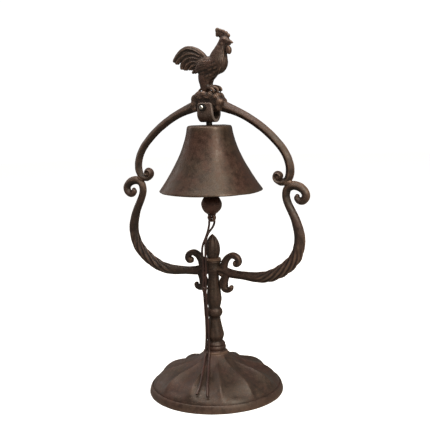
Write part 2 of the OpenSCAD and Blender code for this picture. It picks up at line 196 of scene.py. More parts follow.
def bar_rings(
    stations: Sequence[Point],
    steps: int,
    fullness: float = 2.0,
    sides: int = 32,
    lobes: Callable[[float, float], float] | None = None,
) -> list[Ring]:
    """Rings of a bar with rounded ends.

    Args:
        stations: Points of x, z, half width, half depth and, where it isn't 0, y.
        steps: Steps to a span.
        fullness: 1 is a diamond section, 2 a round one and above 3 a flat-faced one.
        sides: Points to a ring.
        lobes: Factor on the section's radius for a distance along the bar and an angle.

    Returns:
        The rings, from start to end.
    """
    line = [(*s, 0.0)[:5] for s in curve([(*s, 0.0)[:5] for s in stations], steps)]
    heads = [Vector((s[0], s[4], s[1])) for s in line]
    rings: list[Ring] = []
    travelled = 0.0

    def ring(centre: Vector, along: Vector, half_w: float, half_d: float) -> Ring:
        """One section of the bar."""
        across = Vector((-along.z, 0, along.x))
        places: Ring = []
        for j in range(sides):
            angle = math.tau * j / sides
            c, s = math.cos(angle), math.sin(angle)
            reach = (abs(c) ** fullness + abs(s) ** fullness) ** (-1 / fullness)
            if lobes:
                reach *= lobes(travelled, angle)
            places.append(centre + across * (c * reach * half_w) + Vector((0, s * reach * half_d, 0)))
        return places

    def tip(centre: Vector, along: Vector, half_w: float, half_d: float, sign: int) -> list[Ring]:
        """Four shrinking rings that round off an end; sign is -1 at the start and 1 at the end."""
        cap = []
        for k in range(1, 5):
            angle = math.radians(21 * k)
            shift = along * (sign * math.sin(angle) * min(half_w, half_d))
            cap.append(ring(centre + shift, along, half_w * math.cos(angle), half_d * math.cos(angle)))
        return cap

    for i, head in enumerate(heads):
        before, after = heads[max(i - 1, 0)], heads[min(i + 1, len(heads) - 1)]
        flat = Vector((after.x - before.x, 0, after.z - before.z)).normalized()
        if i:
            travelled += (head - heads[i - 1]).length
        if i == 0:
            rings += reversed(tip(head, flat, line[i][2], line[i][3], -1))
        rings.append(ring(head, flat, line[i][2], line[i][3]))
        if i == len(heads) - 1:
            rings += tip(head, flat, line[i][2], line[i][3], 1)
    return rings


def tube_rings(path: Sequence[Vector], radius: float, sides: int) -> list[Ring]:
    """Rings of a round tube along any path, with no twist between them."""
    side = Vector((1, 0, 0))
    rings: list[Ring] = []
    for i, place in enumerate(path):
        along = (path[min(i + 1, len(path) - 1)] - path[max(i - 1, 0)]).normalized()
        side = (side - along * side.dot(along)).normalized()
        other = along.cross(side)
        turns = [math.tau * j / sides for j in range(sides)]
        rings.append([place + (side * math.cos(a) + other * math.sin(a)) * radius for a in turns])
    return rings


def full_turn(bm: bmesh.types.BMesh, geom: list, at: Point, axis: Point, steps: int) -> None:
    """Sweeps geometry once round an axis through a point, and joins the ends."""
    turn = {"cent": Vector(at), "axis": Vector(axis), "angle": math.tau}
    bmesh.ops.spin(bm, geom=geom, steps=steps, use_merge=True, **turn)


def spun(
    bm: bmesh.types.BMesh,
    outline: Sequence[Point],
    steps: int,
    axis: Point = (0, 0, 1),
    at: Point = (0, 0, 0),
) -> None:
    """Turns an outline of radius and height about an axis through a point.

    Args:
        bm: The mesh that the turned shape is added to.
        outline: Points of radius and height, in order.
        steps: Steps round the full turn.
        axis: Direction of the axis.
        at: A point on the axis.
    """
    frame_turn = Vector((0, 0, 1)).rotation_difference(Vector(axis)).to_matrix().to_4x4()
    place = Matrix.Translation(Vector(at)) @ frame_turn
    part = bmesh.new()
    verts = [part.verts.new(place @ Vector((r, 0, z))) for r, z in outline]
    edges = [part.edges.new(pair) for pair in zip(verts, verts[1:])]
    full_turn(part, verts + edges, at, axis, steps)
    bmesh.ops.remove_doubles(part, verts=part.verts, dist=0.0005)
    bmesh.ops.recalc_face_normals(part, faces=part.faces)
    join(bm, part)


def ball(bm: bmesh.types.BMesh, centre: Point, radii: Point, tilt: float = 0.0, fineness: int = 24) -> None:
    """Adds an ellipsoid, tilted in the XZ plane by an angle in degrees."""
    turn = Matrix.Rotation(math.radians(-tilt), 4, "Y")
    place = Matrix.Translation(Vector(centre)) @ turn @ Matrix.Diagonal((*radii, 1))
    bmesh.ops.create_uvsphere(bm, u_segments=fineness, v_segments=fineness // 2, radius=1.0, matrix=place)


def roughen(bm: bmesh.types.BMesh, amount: float, size: float, seed: float) -> None:
    """Moves the skin in and out a little, as hand-made sand moulds do."""
    bm.normal_update()
    shifts = [(v, v.normal * (amount * grain(v.co, size, seed))) for v in bm.verts]
    for vert, shift in shifts:
        vert.co += shift


def to_mesh(bm: bmesh.types.BMesh, name: str, sharp_deg: float) -> bpy.types.Mesh:
    """Closes a millimetre bmesh into a smooth-shaded mesh in metres.

    Args:
        bm: The mesh being built; it is freed.
        name: Name of the mesh.
        sharp_deg: Edges that turn more than this stay sharp.

    Returns:
        The finished mesh.
    """
    bmesh.ops.remove_doubles(bm, verts=bm.verts, dist=0.0002)
    bmesh.ops.recalc_face_normals(bm, faces=bm.faces)
    bmesh.ops.scale(bm, vec=(MM, MM, MM), verts=bm.verts)
    mesh = bpy.data.meshes.new(name)
    bm.to_mesh(mesh)
    bm.free()
    mesh.shade_smooth()
    mesh.set_sharp_from_angle(angle=math.radians(sharp_deg))
    return mesh


def fused(bm: bmesh.types.BMesh, name: str, voxel: float, rounds: int) -> bmesh.types.BMesh:
    """Melts overlapping shells into one skin, as one casting.

    Args:
        bm: The overlapping shells, in millimetres; it is freed.
        name: Name for the working object.
        voxel: Size of the grid, in millimetres.
        rounds: Rounds of smoothing.

    Returns:
        The single skin, in millimetres.
    """
    mesh = bpy.data.meshes.new(name)
    bmesh.ops.recalc_face_normals(bm, faces=bm.faces)
    bm.to_mesh(mesh)
    bm.free()
    work = bpy.data.objects.new(name, mesh)
    bpy.context.scene.collection.objects.link(work)
    remesh = work.modifiers.new("remesh", "REMESH")
    remesh.mode = "VOXEL"
    remesh.voxel_size = voxel
    seen = work.evaluated_get(bpy.context.evaluated_depsgraph_get())
    out = bmesh.new()
    out.from_mesh(seen.to_mesh())
    seen.to_mesh_clear()
    bpy.data.objects.remove(work)
    bpy.data.meshes.remove(mesh)
    for _ in range(rounds):
        bmesh.ops.smooth_vert(
            out, verts=out.verts, factor=0.5, use_axis_x=True, use_axis_y=True, use_axis_z=True
        )
    return out


def mark_relief(mesh: bpy.types.Mesh, rounds: int) -> None:
    """Stores how far each point stands proud of its surroundings, 0 in hollows to 1 on edges.

    Args:
        mesh: The finished mesh.
        rounds: Rounds of averaging; more rounds look further round each point.
    """
    count = len(mesh.vertices)
    places = np.empty(count * 3)
    mesh.vertices.foreach_get("co", places)
    places = places.reshape(-1, 3)
    pairs = np.empty(len(mesh.edges) * 2, dtype=np.int64)
    mesh.edges.foreach_get("vertices", pairs)
    a, b = pairs.reshape(-1, 2).T
    links = np.maximum(np.bincount(a, minlength=count) + np.bincount(b, minlength=count), 1)
    soft = places.copy()
    for _ in range(rounds):
        near = [np.bincount(a, soft[b, k], count) + np.bincount(b, soft[a, k], count) for k in range(3)]
        soft = 0.5 * soft + 0.5 * np.stack(near, 1) / links[:, None]
    normals = np.empty(count * 3)
    mesh.vertex_normals.foreach_get("vector", normals)
    proud = ((places - soft) * normals.reshape(-1, 3)).sum(1)
    low, middle, high = np.percentile(proud, (4, 50, 96))
    relief = np.clip(0.5 + (proud - middle) / max(high - low, 1e-7), 0, 1)
    mesh.attributes.new("relief", "FLOAT", "POINT").data.foreach_set("value", relief.astype(np.float32))


# ---------------------------------------------------------------- node trees


class Tree:
    """Short hand for wiring a shader tree."""

    def __init__(self, tree: bpy.types.NodeTree) -> None:
        """Keeps the tree that nodes are added to."""
        self.tree = tree

    def node(
        self, kind: str, inputs: dict[str | int, object] | None = None, **settings: object
    ) -> bpy.types.Node:
        """Adds a node.

        Args:
            kind: The node's type.
            inputs: Values or sockets for its inputs.
            settings: Properties of the node.

        Returns:
            The node.
        """
        made = self.tree.nodes.new(kind)
        for key, value in settings.items():
            setattr(made, key, value)
        for key, value in (inputs or {}).items():
            if isinstance(value, Socket):
                self.tree.links.new(value, made.inputs[key])
            else:
                made.inputs[key].default_value = value
        return made

    def noise(self, where: Socket, scale: float, detail: float = 4.0, rough: float = 0.55) -> Socket:
        """Noise value at a place."""
        return self.node(
            "ShaderNodeTexNoise", {"Vector": where, "Scale": scale, "Detail": detail, "Roughness": rough}
        ).outputs["Fac"]

    def span(self, value: Socket, low: float, high: float, start: float = 0.0, end: float = 1.0) -> Socket:
        """Maps low..high smoothly to start..end."""
        return self.node(
            "ShaderNodeMapRange",
            {"Value": value, "From Min": low, "From Max": high, "To Min": start, "To Max": end},
            interpolation_type="SMOOTHSTEP",
        ).outputs["Result"]

    def math(self, operation: str, a: object, b: object = 0.0, clamp: bool = False) -> Socket:
        """Result of a math node."""
        return self.node("ShaderNodeMath", {0: a, 1: b}, operation=operation, use_clamp=clamp).outputs[0]

    def mix(self, share: object, a: object, b: object, blend: str = "MIX") -> Socket:
        """Colour between a and b by a share."""
        made = self.node("ShaderNodeMix", data_type="RGBA", blend_type=blend)
        wanted = {"Factor_Float": share, "A_Color": a, "B_Color": b}
        for socket in made.inputs:
            if socket.identifier in wanted:
                value = wanted[socket.identifier]
                if isinstance(value, Socket):
                    self.tree.links.new(value, socket)
                else:
                    socket.default_value = value
        return next(s for s in made.outputs if s.identifier == "Result_Color")

    def close(self, out: bpy.types.Node, colour: Socket, rough: Socket, height: Socket) -> bpy.types.NodeTree:
        """Joins a group's results to its outputs, and returns the group's tree."""
        for key, value in (("Color", colour), ("Roughness", rough), ("Height", height)):
            self.tree.links.new(value, out.inputs[key])
        return self.tree


def group(name: str, inputs: dict[str, object]) -> tuple[Tree, bpy.types.Node, bpy.types.Node]:
    """Starts a shader group with the given inputs, and Color, Roughness and Height outputs.

    Args:
        name: Name of the group.
        inputs: Default of each input; four numbers make a colour, and one a value.

    Returns:
        The group's short hand, and its input and output nodes.
    """
    tree = bpy.data.node_groups.new(name, "ShaderNodeTree")
    for key, value in inputs.items():
        kind = "NodeSocketColor" if isinstance(value, tuple) else "NodeSocketFloat"
        tree.interface.new_socket(key, in_out="INPUT", socket_type=kind).default_value = value
    tree.interface.new_socket("Color", in_out="OUTPUT", socket_type="NodeSocketColor")
    tree.interface.new_socket("Roughness", in_out="OUTPUT", socket_type="NodeSocketFloat")
    tree.interface.new_socket("Height", in_out="OUTPUT", socket_type="NodeSocketFloat")
    short = Tree(tree)
    return short, short.node("NodeGroupInput"), short.node("NodeGroupOutput")


def cast_group() -> bpy.types.NodeTree:
    """Sand-cast iron: blotched patina, rust freckles, painted shade in hollows, edges lighter as wear and
    painted highlight, and a pitted skin.
    """
    grey = (0.1, 0.1, 0.1, 1.0)
    colours = {name: grey for name in ("Base", "Blotch", "Worn", "Hollow", "Rust")}
    t, given, out = group("cast_patina", {**colours, "Smoothness": 0.5, "Freckles": 0.5})
    where = t.node("ShaderNodeTexCoord").outputs["Object"]
    relief = t.node("ShaderNodeAttribute", attribute_name="relief").outputs["Fac"]
    broad = t.noise(where, 34.0, 4.0, 0.6)
    mottle = t.noise(where, 170.0, 6.0, 0.7)
    fine = t.noise(where, 700.0, 4.0, 0.7)
    pits = t.node("ShaderNodeTexVoronoi", {"Vector": where, "Scale": 520.0}, feature="F1").outputs["Distance"]
    freckle = t.noise(where, 330.0, 4.0, 0.7)
    colour = t.mix(t.span(broad, 0.38, 0.62), given.outputs["Base"], given.outputs["Blotch"])
    shade = t.node("ShaderNodeCombineColor", {k: t.span(mottle, 0.32, 0.68, 0.68, 1.32) for k in (0, 1, 2)})
    colour = t.mix(1.0, colour, shade.outputs[0], "MULTIPLY")
    # Painted shade: the colour darkens towards the shade colour where the surface lies in hollows
    hollow_shade = t.math("MULTIPLY", t.span(relief, 0.48, 0.1), 0.85)
    colour = t.mix(hollow_shade, colour, given.outputs["Hollow"])
    # Proud edges lighten, partly as rubbed wear and partly as a painted highlight on ridges
    edge_wear_and_highlight = t.math("MULTIPLY", t.span(relief, 0.54, 0.97), t.span(mottle, 0.25, 0.6, 0.35, 1.0))
    colour = t.mix(edge_wear_and_highlight, colour, given.outputs["Worn"])
    rust = t.math("MULTIPLY", t.span(freckle, 0.57, 0.68), given.outputs["Freckles"])
    colour = t.mix(rust, colour, given.outputs["Rust"])
    speck = t.math("MULTIPLY", t.span(t.noise(where, 1000.0, 2.0, 0.6), 0.58, 0.68), 0.5)
    colour = t.mix(speck, colour, given.outputs["Worn"])
    rough = t.math("ADD", given.outputs["Smoothness"], t.span(mottle, 0.32, 0.68, -0.1, 0.12))
    rough = t.math("ADD", rough, t.math("MULTIPLY", rust, 0.15))
    rough = t.math("SUBTRACT", rough, t.math("MULTIPLY", edge_wear_and_highlight, 0.06), clamp=True)
    height = t.math("ADD", t.math("MULTIPLY", fine, 0.35), t.math("MULTIPLY", mottle, 0.5))
    height = t.math("ADD", height, t.math("MULTIPLY", t.span(pits, 0.0, 0.3), 0.15))
    return t.close(out, colour, rough, height)


def steel_group() -> bpy.types.NodeTree:
    """Turned or plated steel: fine turning marks, smudges and small rust bloom."""
    grey = (0.4, 0.4, 0.4, 1.0)
    t, given, out = group("machined_steel", {"Base": grey, "Smudge": grey, "Smoothness": 0.4})
    where = t.node("ShaderNodeTexCoord").outputs["Object"]
    smudge = t.noise(where, 240.0, 4.0, 0.6)
    stretch = t.node("ShaderNodeMapping", {"Vector": where, "Scale": (300.0, 300.0, 2600.0)})
    marks = t.noise(stretch.outputs["Vector"], 1.0, 2.0)
    colour = t.mix(t.span(smudge, 0.4, 0.66), given.outputs["Base"], given.outputs["Smudge"])
    rough = t.math("ADD", given.outputs["Smoothness"], t.span(smudge, 0.3, 0.7, -0.1, 0.14))
    height = t.math("ADD", t.math("MULTIPLY", marks, 0.5), t.math("MULTIPLY", smudge, 0.5))
    return t.close(out, colour, rough, height)


def leather_group() -> bpy.types.NodeTree:
    """Waxed bootlace: rubbed lighter in patches, with fine creases and darker seams."""
    grey = (0.1, 0.05, 0.04, 1.0)
    t, given, out = group("waxed_leather", {"Base": grey, "Rubbed": grey, "Smoothness": 0.45})
    where = t.node("ShaderNodeTexCoord").outputs["Object"]
    broad = t.noise(where, 90.0, 3.0)
    crease = t.node("ShaderNodeMapping", {"Vector": where, "Scale": (900.0, 900.0, 260.0)})
    creases = t.noise(crease.outputs["Vector"], 1.0, 4.0, 0.65)
    colour = t.mix(t.span(broad, 0.4, 0.65), given.outputs["Base"], given.outputs["Rubbed"])
    shade = t.node("ShaderNodeCombineColor", {k: t.span(creases, 0.3, 0.65, 0.6, 1.25) for k in (0, 1, 2)})
    colour = t.mix(1.0, colour, shade.outputs[0], "MULTIPLY")
    rough = t.math("ADD", given.outputs["Smoothness"], t.span(creases, 0.35, 0.65, 0.12, -0.08))
    return t.close(out, colour, rough, creases)


@dataclass(frozen=True)
class Finish:
    """A surface finish: the slot name that its material is named after, its shader group and its own values.
    """

    slot: str
    group: str
    colours: dict[str, Colour]
    values: dict[str, float]
    metallic: float
    bump: float
    bump_depth: float = 0.0004
    specular: float = 0.5

    def material(self) -> bpy.types.Material:
        """Builds the material once, and returns it from then on."""
        name = f"{self.slot}_finish"
        known = bpy.data.materials.get(name)
        if known:
            return known
        made = bpy.data.materials.new(name)
        made.use_nodes = True
        made.node_tree.nodes.clear()
        t = Tree(made.node_tree)
        skin = t.node("ShaderNodeGroup", node_tree=bpy.data.node_groups[self.group])
        for key, value in self.colours.items():
            skin.inputs[key].default_value = (*value, 1.0)
        for key, value in self.values.items():
            skin.inputs[key].default_value = value
        bump = t.node(
            "ShaderNodeBump",
            {"Height": skin.outputs["Height"], "Strength": self.bump, "Distance": self.bump_depth},
        )
        shader = t.node(
            "ShaderNodeBsdfPrincipled",
            {
                "Base Color": skin.outputs["Color"],
                "Roughness": skin.outputs["Roughness"],
                "Normal": bump.outputs["Normal"],
                "Metallic": self.metallic,
                "Specular IOR Level": self.specular,
            },
        )
        end = t.node("ShaderNodeOutputMaterial")
        made.node_tree.links.new(shader.outputs["BSDF"], end.inputs["Surface"])
        return made


BROWN_IRON = Finish(
    "brown_iron",
    "cast_patina",
    {
        "Base": (0.05, 0.0235, 0.0172),
        "Blotch": (0.041, 0.0245, 0.0165),
        # Rubbed wear with a painted edge highlight, then the painted shade colour for hollows
        "Worn": (0.155, 0.094, 0.067),
        "Hollow": (0.0095, 0.0058, 0.0044),
        "Rust": (0.1, 0.043, 0.023),
    },
    {"Smoothness": 0.5, "Freckles": 0.45},
    metallic=0.3,
    bump=0.2,
    specular=0.6,
)
BELL_IRON = Finish(
    "bell_iron",
    "cast_patina",
    {
        "Base": (0.049, 0.0212, 0.0136),
        "Blotch": (0.041, 0.0242, 0.015),
        # Rubbed wear with a painted edge highlight, then the painted shade colour for hollows
        "Worn": (0.066, 0.04, 0.027),
        "Hollow": (0.03, 0.018, 0.013),
        "Rust": (0.1, 0.045, 0.026),
    },
    {"Smoothness": 0.46, "Freckles": 0.42},
    metallic=0.35,
    bump=0.16,
    specular=0.5,
)
BALL_IRON = Finish(
    "ball_iron",
    "cast_patina",
    {
        "Base": (0.095, 0.038, 0.024),
        "Blotch": (0.105, 0.038, 0.025),
        # Rubbed wear with a painted edge highlight, then the painted shade colour for hollows
        "Worn": (0.15, 0.08, 0.055),
        "Hollow": (0.035, 0.016, 0.011),
        "Rust": (0.1, 0.035, 0.02),
    },
    {"Smoothness": 0.42, "Freckles": 0.4},
    metallic=0.4,
    bump=0.2,
    specular=0.8,
)
STRAP_IRON = Finish(
    "strap_iron",
    "cast_patina",
    {
        "Base": (0.12, 0.078, 0.064),
        "Blotch": (0.105, 0.074, 0.06),
        # Rubbed wear with a painted edge highlight, then the painted shade colour for hollows
        "Worn": (0.21, 0.165, 0.15),
        "Hollow": (0.05, 0.036, 0.032),
        "Rust": (0.13, 0.08, 0.06),
    },
    {"Smoothness": 0.48, "Freckles": 0.25},
    metallic=0.25,
    bump=0.3,
)
DARK_STEEL = Finish(
    "dark_steel",
    "machined_steel",
    {"Base": (0.018, 0.016, 0.015), "Smudge": (0.04, 0.032, 0.026)},
    {"Smoothness": 0.36},
    metallic=0.7,
    bump=0.15,
)
BARE_STEEL = Finish(
    "bare_steel",
    "machined_steel",
    {"Base": (0.62, 0.6, 0.56), "Smudge": (0.42, 0.39, 0.35)},
    {"Smoothness": 0.34},
    metallic=1.0,
    bump=0.12,
)
LACE_LEATHER = Finish(
    "lace_leather",
    "waxed_leather",
    {"Base": (0.032, 0.013, 0.011), "Rubbed": (0.062, 0.026, 0.021)},
    {"Smoothness": 0.42},
    metallic=0.0,
    bump=0.5,
    bump_depth=0.0002,
)


def place_piece(
    bm: bmesh.types.BMesh,
    name: str,
    finish: Finish,
    body: Body | None,
    stands_for: Sequence[str] = (),
    relief_rounds: int = FINE_RELIEF,
    sharp_deg: float = 40.0,
) -> bpy.types.Object:
    """Closes a shape, dresses it, puts it in the scene and lets it ride on its body.

    Args:
        bm: The shape, in millimetres, in its place; it is freed.
        name: The piece's name.
        finish: Its finish.
        body: The body it rides on, or None, which leaves it unattached.
        stands_for: The model's nodes that it is shown for.
        relief_rounds: How far round each point the wear, the painted edge highlight and the painted shade in
            hollows look.
        sharp_deg: Edges that turn more than this stay sharp.

    Returns:
        The piece.
    """
    mesh = to_mesh(bm, name, sharp_deg)
    mark_relief(mesh, relief_rounds)
    mesh.materials.append(finish.material())
    piece = bpy.data.objects.new(name, mesh)
    bpy.context.scene.collection.objects.link(piece)
    if body:
        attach(piece, body.value)
    if stands_for:
        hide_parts(*stands_for)
    log.info("%s: %d faces, %s", name, len(mesh.polygons), finish.slot)
    return piece


# ---------------------------------------------------------------- camera, light and floor


@dataclass
class Studio:
    """Camera, soft lights and the pale floor."""

    eye: tuple[float, float, float] = (0.3719, -0.6742, 0.2964)
    azimuth_deg: float = 28.65
    pitch_deg: float = 8.79
    roll_deg: float = -1.6
    focal: float = 798.1
    floor_radius: float = 3.0
    floor_glow: float = 0.76
    room: float = 0.26

    def build(self) -> None:
        """Makes the camera, the lights, the world and the floor."""
        self.camera()
        self.world()
        self.floor()
        self.softbox("light_top", -10, 78, 0.75, (0.6, 0.45), 4.9, (1.0, 0.93, 0.84))
        self.softbox("light_right", 60, 37, 1.1, (0.26, 0.8), 10.5, (1.0, 0.92, 0.76))
        self.softbox("light_left", -100, 26, 1.2, (0.6, 1.0), 2.6, (1.0, 0.88, 0.81))

    def camera(self) -> None:
        """Sets the camera at the object's viewing angle."""
        turn, dip, roll = (math.radians(v) for v in (self.azimuth_deg, self.pitch_deg, self.roll_deg))
        ahead = Vector((-math.sin(turn) * math.cos(dip), math.cos(turn) * math.cos(dip), -math.sin(dip)))
        right = Vector((math.cos(turn), math.sin(turn), 0))
        up = right.cross(ahead)
        level_right = right * math.cos(roll) + up * math.sin(roll)
        level_up = up * math.cos(roll) - right * math.sin(roll)
        data = bpy.data.cameras.new("camera")
        data.sensor_width = SENSOR_MM
        data.lens = self.focal / IMAGE_SIDE * SENSOR_MM
        camera = bpy.data.objects.new("camera", data)
        axes = Matrix((level_right, level_up, -ahead)).transposed()
        camera.matrix_world = Matrix.Translation(Vector(self.eye)) @ axes.to_4x4()
        bpy.context.scene.collection.objects.link(camera)
        bpy.context.scene.camera = camera

    def world(self) -> None:
        """Gives a white backdrop to the eye and a dimmer, even room to the object."""
        scene = bpy.context.scene
        scene.view_settings.view_transform = "Standard"
        scene.view_settings.look = "None"
        scene.world = bpy.data.worlds.new("white_room")
        scene.world.use_nodes = True
        scene.world.node_tree.nodes.clear()
        t = Tree(scene.world.node_tree)
        room = t.node("ShaderNodeBackground", {"Color": (1.0, 0.95, 0.89, 1.0), "Strength": self.room})
        backdrop = t.node("ShaderNodeBackground", {"Color": (1.0, 1.0, 1.0, 1.0), "Strength": 1.05})
        self.by_eye(t, room.outputs[0], backdrop.outputs[0], "ShaderNodeOutputWorld")

    def by_eye(self, t: Tree, others: Socket, eye: Socket, end: str) -> None:
        """Shows one shader to the camera and another to all other rays."""
        seen = t.node("ShaderNodeLightPath").outputs["Is Camera Ray"]
        both = t.node("ShaderNodeMixShader", {0: seen, 1: others, 2: eye})
        t.node(end, {"Surface": both.outputs[0]})

    def floor(self) -> None:
        """Spins a plain round floor."""
        bm = bmesh.new()
        spun(bm, [(0.0, 0.0), (0.3, 0.0), (1.0, 0.0), (self.floor_radius, 0.0)], 64)
        bmesh.ops.recalc_face_normals(bm, faces=bm.faces)
        mesh = bpy.data.meshes.new("floor")
        bm.to_mesh(mesh)
        bm.free()
        paint = bpy.data.materials.new("floor_paint")
        paint.use_nodes = True
        paint.node_tree.nodes.clear()
        t = Tree(paint.node_tree)
        plain = {"Roughness": 0.9, "Specular IOR Level": 0.1, "Emission Color": (1.0, 1.0, 1.0, 1.0)}
        dim = t.node("ShaderNodeBsdfPrincipled", {**plain, "Base Color": (0.3, 0.295, 0.285, 1.0)})
        lit = t.node(
            "ShaderNodeBsdfPrincipled",
            {**plain, "Base Color": (0.93, 0.93, 0.93, 1.0), "Emission Strength": self.floor_glow},
        )
        self.by_eye(t, dim.outputs[0], lit.outputs[0], "ShaderNodeOutputMaterial")
        mesh.materials.append(paint)
        stage = bpy.data.objects.new("floor", mesh)
        bpy.context.scene.collection.objects.link(stage)

    def softbox(
        self,
        name: str,
        azimuth: float,
        elevation: float,
        distance: float,
        size: tuple[float, float],
        watts: float,
        tint: Colour,
    ) -> None:
        """Adds one soft light that faces the middle of the object.

        Args:
            name: The light's name.
            azimuth: Degrees round from the front, towards +X.
            elevation: Degrees above the horizon.
            distance: Metres from the middle of the object.
            size: Width and height, in metres.
            watts: Power.
            tint: Colour.
        """
        low, high = CAD_BOX
        middle = (Vector(low) + Vector(high)) / 2
        a, e = math.radians(azimuth), math.radians(elevation)
        out = Vector((math.sin(a) * math.cos(e), -math.cos(a) * math.cos(e), math.sin(e)))
        data = bpy.data.lights.new(name, "AREA")
        data.shape = "RECTANGLE"
        data.size, data.size_y = size
        data.energy = watts
        data.color = tint
        light = bpy.data.objects.new(name, data)
        light.location = middle + out * distance
        light.rotation_euler = out.to_track_quat("Z", "Y").to_euler()
        bpy.context.scene.collection.objects.link(light)


# ---------------------------------------------------------------- lace


@dataclass
class Lace:
    """One leather bootlace through the clapper's knob, with both halves hanging and tied once.

    Each half is made as three stretches, which part where its route reaches the heights of the
    link and of the bell; the last one runs down onto the dish. The knot is a piece of its own
    that rides on the bell.
    """

    radius: float = 1.1
    knot_at: tuple[float, float, float] = (-5.15, -9.9, 105)
    knot_size: float = 0.78
    steps: int = 6

    # Where each half runs, from the middle of the knob's hole to its cut end
    left: tuple[Point, ...] = (
        (0, 0, 175), (-0.3, -3.2, 174.4), (-0.7, -4.2, 171.6),
        (-1, -4.3, 168), (-2, -5.4, 162), (-3.7, -7.4, 155.5), (-5.6, -9.6, 149), (-6.2, -10.4, 143),
        (-5.9, -10.2, 134), (-5.9, -9.9, 123), (-6.2, -10, 112), (-6.3, -9.9, 105), (-5.9, -9.4, 97),
        (-5.5, -9.6, 90), (-4.9, -9.8, 80), (-4.4, -9.9, 70), (-4.3, -10.3, 58), (-4.4, -11.1, 50),
        (-4.5, -12.2, 44), (-4.2, -14, 39.5), (-3, -17.5, 36.6), (-1, -22, 33.8), (1, -27, 31.8),
        (3.4, -33, 29.8), (6, -39.5, 27.5), (8.5, -46, 24.8), (10, -52, 21.3), (10.2, -58, 16.4),
    )
    right: tuple[Point, ...] = (
        (0, 0, 175), (0.2, 3.2, 174.4), (0.4, 4.2, 171.6),
        (0, 4.1, 168), (-1.5, 2.4, 164), (-3.4, -1.2, 160), (-4.1, -4.6, 155.5), (-3.7, -7.8, 149.5),
        (-3.3, -8.9, 143), (-3.3, -9.5, 134), (-3.4, -9.2, 123), (-3.8, -9.5, 112), (-4, -9.9, 105),
        (-3.6, -10.2, 97), (-3.1, -10.3, 90), (-2.5, -10.3, 80), (-2, -10.2, 70), (-1.5, -10.8, 58),
        (-1, -11.6, 50), (-0.4, -12.6, 44), (0.6, -14.8, 39.6), (2.2, -18.4, 36.2), (4, -22, 33.5),
        (6.4, -27, 30.7), (9, -32, 28.6), (12, -38.5, 26.3), (15, -45, 23.6), (18, -51, 19.8),
        (20.6, -56, 14.8),
    )
    # Heights where one stretch ends and the next begins, and where the last one is at rest
    link_z: float = 143
    bell_z: float = 112
    settled_z: float = 41

    def build(self) -> None:
        """Makes the knot and the six stretches."""
        knot = self.knot()
        self.strand("left", self.left, knot, ["lace_strand_left", "lace_hitch"])
        self.strand("right", self.right, knot, ["lace_strand_right"])

    def knot(self) -> bpy.types.Object:
        """Makes the overhand knot that ties both halves together."""
        size, centre = self.knot_size, Vector(self.knot_at)
        path = []
        for k in range(73):
            t = math.tau * k / 72
            x = size * (math.sin(t) + 2 * math.sin(2 * t))
            z = size * (math.cos(t) - 2 * math.cos(2 * t))
            path.append(centre + Vector((x, -0.9 * size * math.sin(3 * t), z)))
        bm = bmesh.new()
        loft(bm, tube_rings(path, self.radius * 1.1, 12), capped=False)
        bmesh.ops.remove_doubles(bm, verts=bm.verts, dist=0.05)
        knot = place_piece(bm, "lace_overhand_knot", LACE_LEATHER, None, relief_rounds=4, sharp_deg=60)
        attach(knot, Body.BELL.value)
        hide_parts("lace_knot")
        return knot

    def strand(
        self, side: str, route: Sequence[Point], knot: bpy.types.Object, stands_for: list[str]
    ) -> None:
        """Makes one half of the lace in three stretches and declares each one.

        Args:
            side: left or right.
            route: Its points, from the knob down.
            knot: The knot that both halves share; not used.
            stands_for: The model's nodes that it is shown for.
        """
        upper_end = next(i for i, p in enumerate(route) if p[2] == self.link_z)
        middle_end = next(i for i, p in enumerate(route) if p[2] == self.bell_z)
        # Part, first and last point, upper and lower body, heights of the blend, far end, pieces on it
        plans = (
            ("upper", 0, upper_end, Body.CLAPPER, Body.LINK, 166, 144, "object", []),
            ("middle", upper_end, middle_end, Body.LINK, Body.BELL, 142, 126, "object", []),
            ("lower", middle_end, len(route) - 1, Body.BELL, Body.STAND, 100, self.settled_z, "bare", [knot]),
        )
        whole = [Vector(p) for p in curve(route, self.steps)]
        rings = self.uneven_rings(whole)
        for part, first, last, above, below, start_z, end_z, far_end, joined in plans:
            stretch = slice(first * self.steps, last * self.steps + 1)
            bm = bmesh.new()
            loft(bm, rings[stretch])
            name = f"lace_{side}_{part}"
            piece = place_piece(bm, name, LACE_LEATHER, None, relief_rounds=4, sharp_deg=60)
            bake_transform(piece)
            if part == "upper":
                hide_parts(*stands_for)

    def uneven_rings(self, path: Sequence[Vector]) -> list[Ring]:
        """Rings of a whole half, slightly uneven in thickness, so that its stretches meet exactly."""
        rings = tube_rings(path, self.radius, 12)
        for ring, head in zip(rings, path):
            swell = 1 + 0.05 * grain(head, 4.0, 3.1)
            for j, place in enumerate(ring):
                ring[j] = head + (place - head) * swell
        return rings


# ---------------------------------------------------------------- base and stem


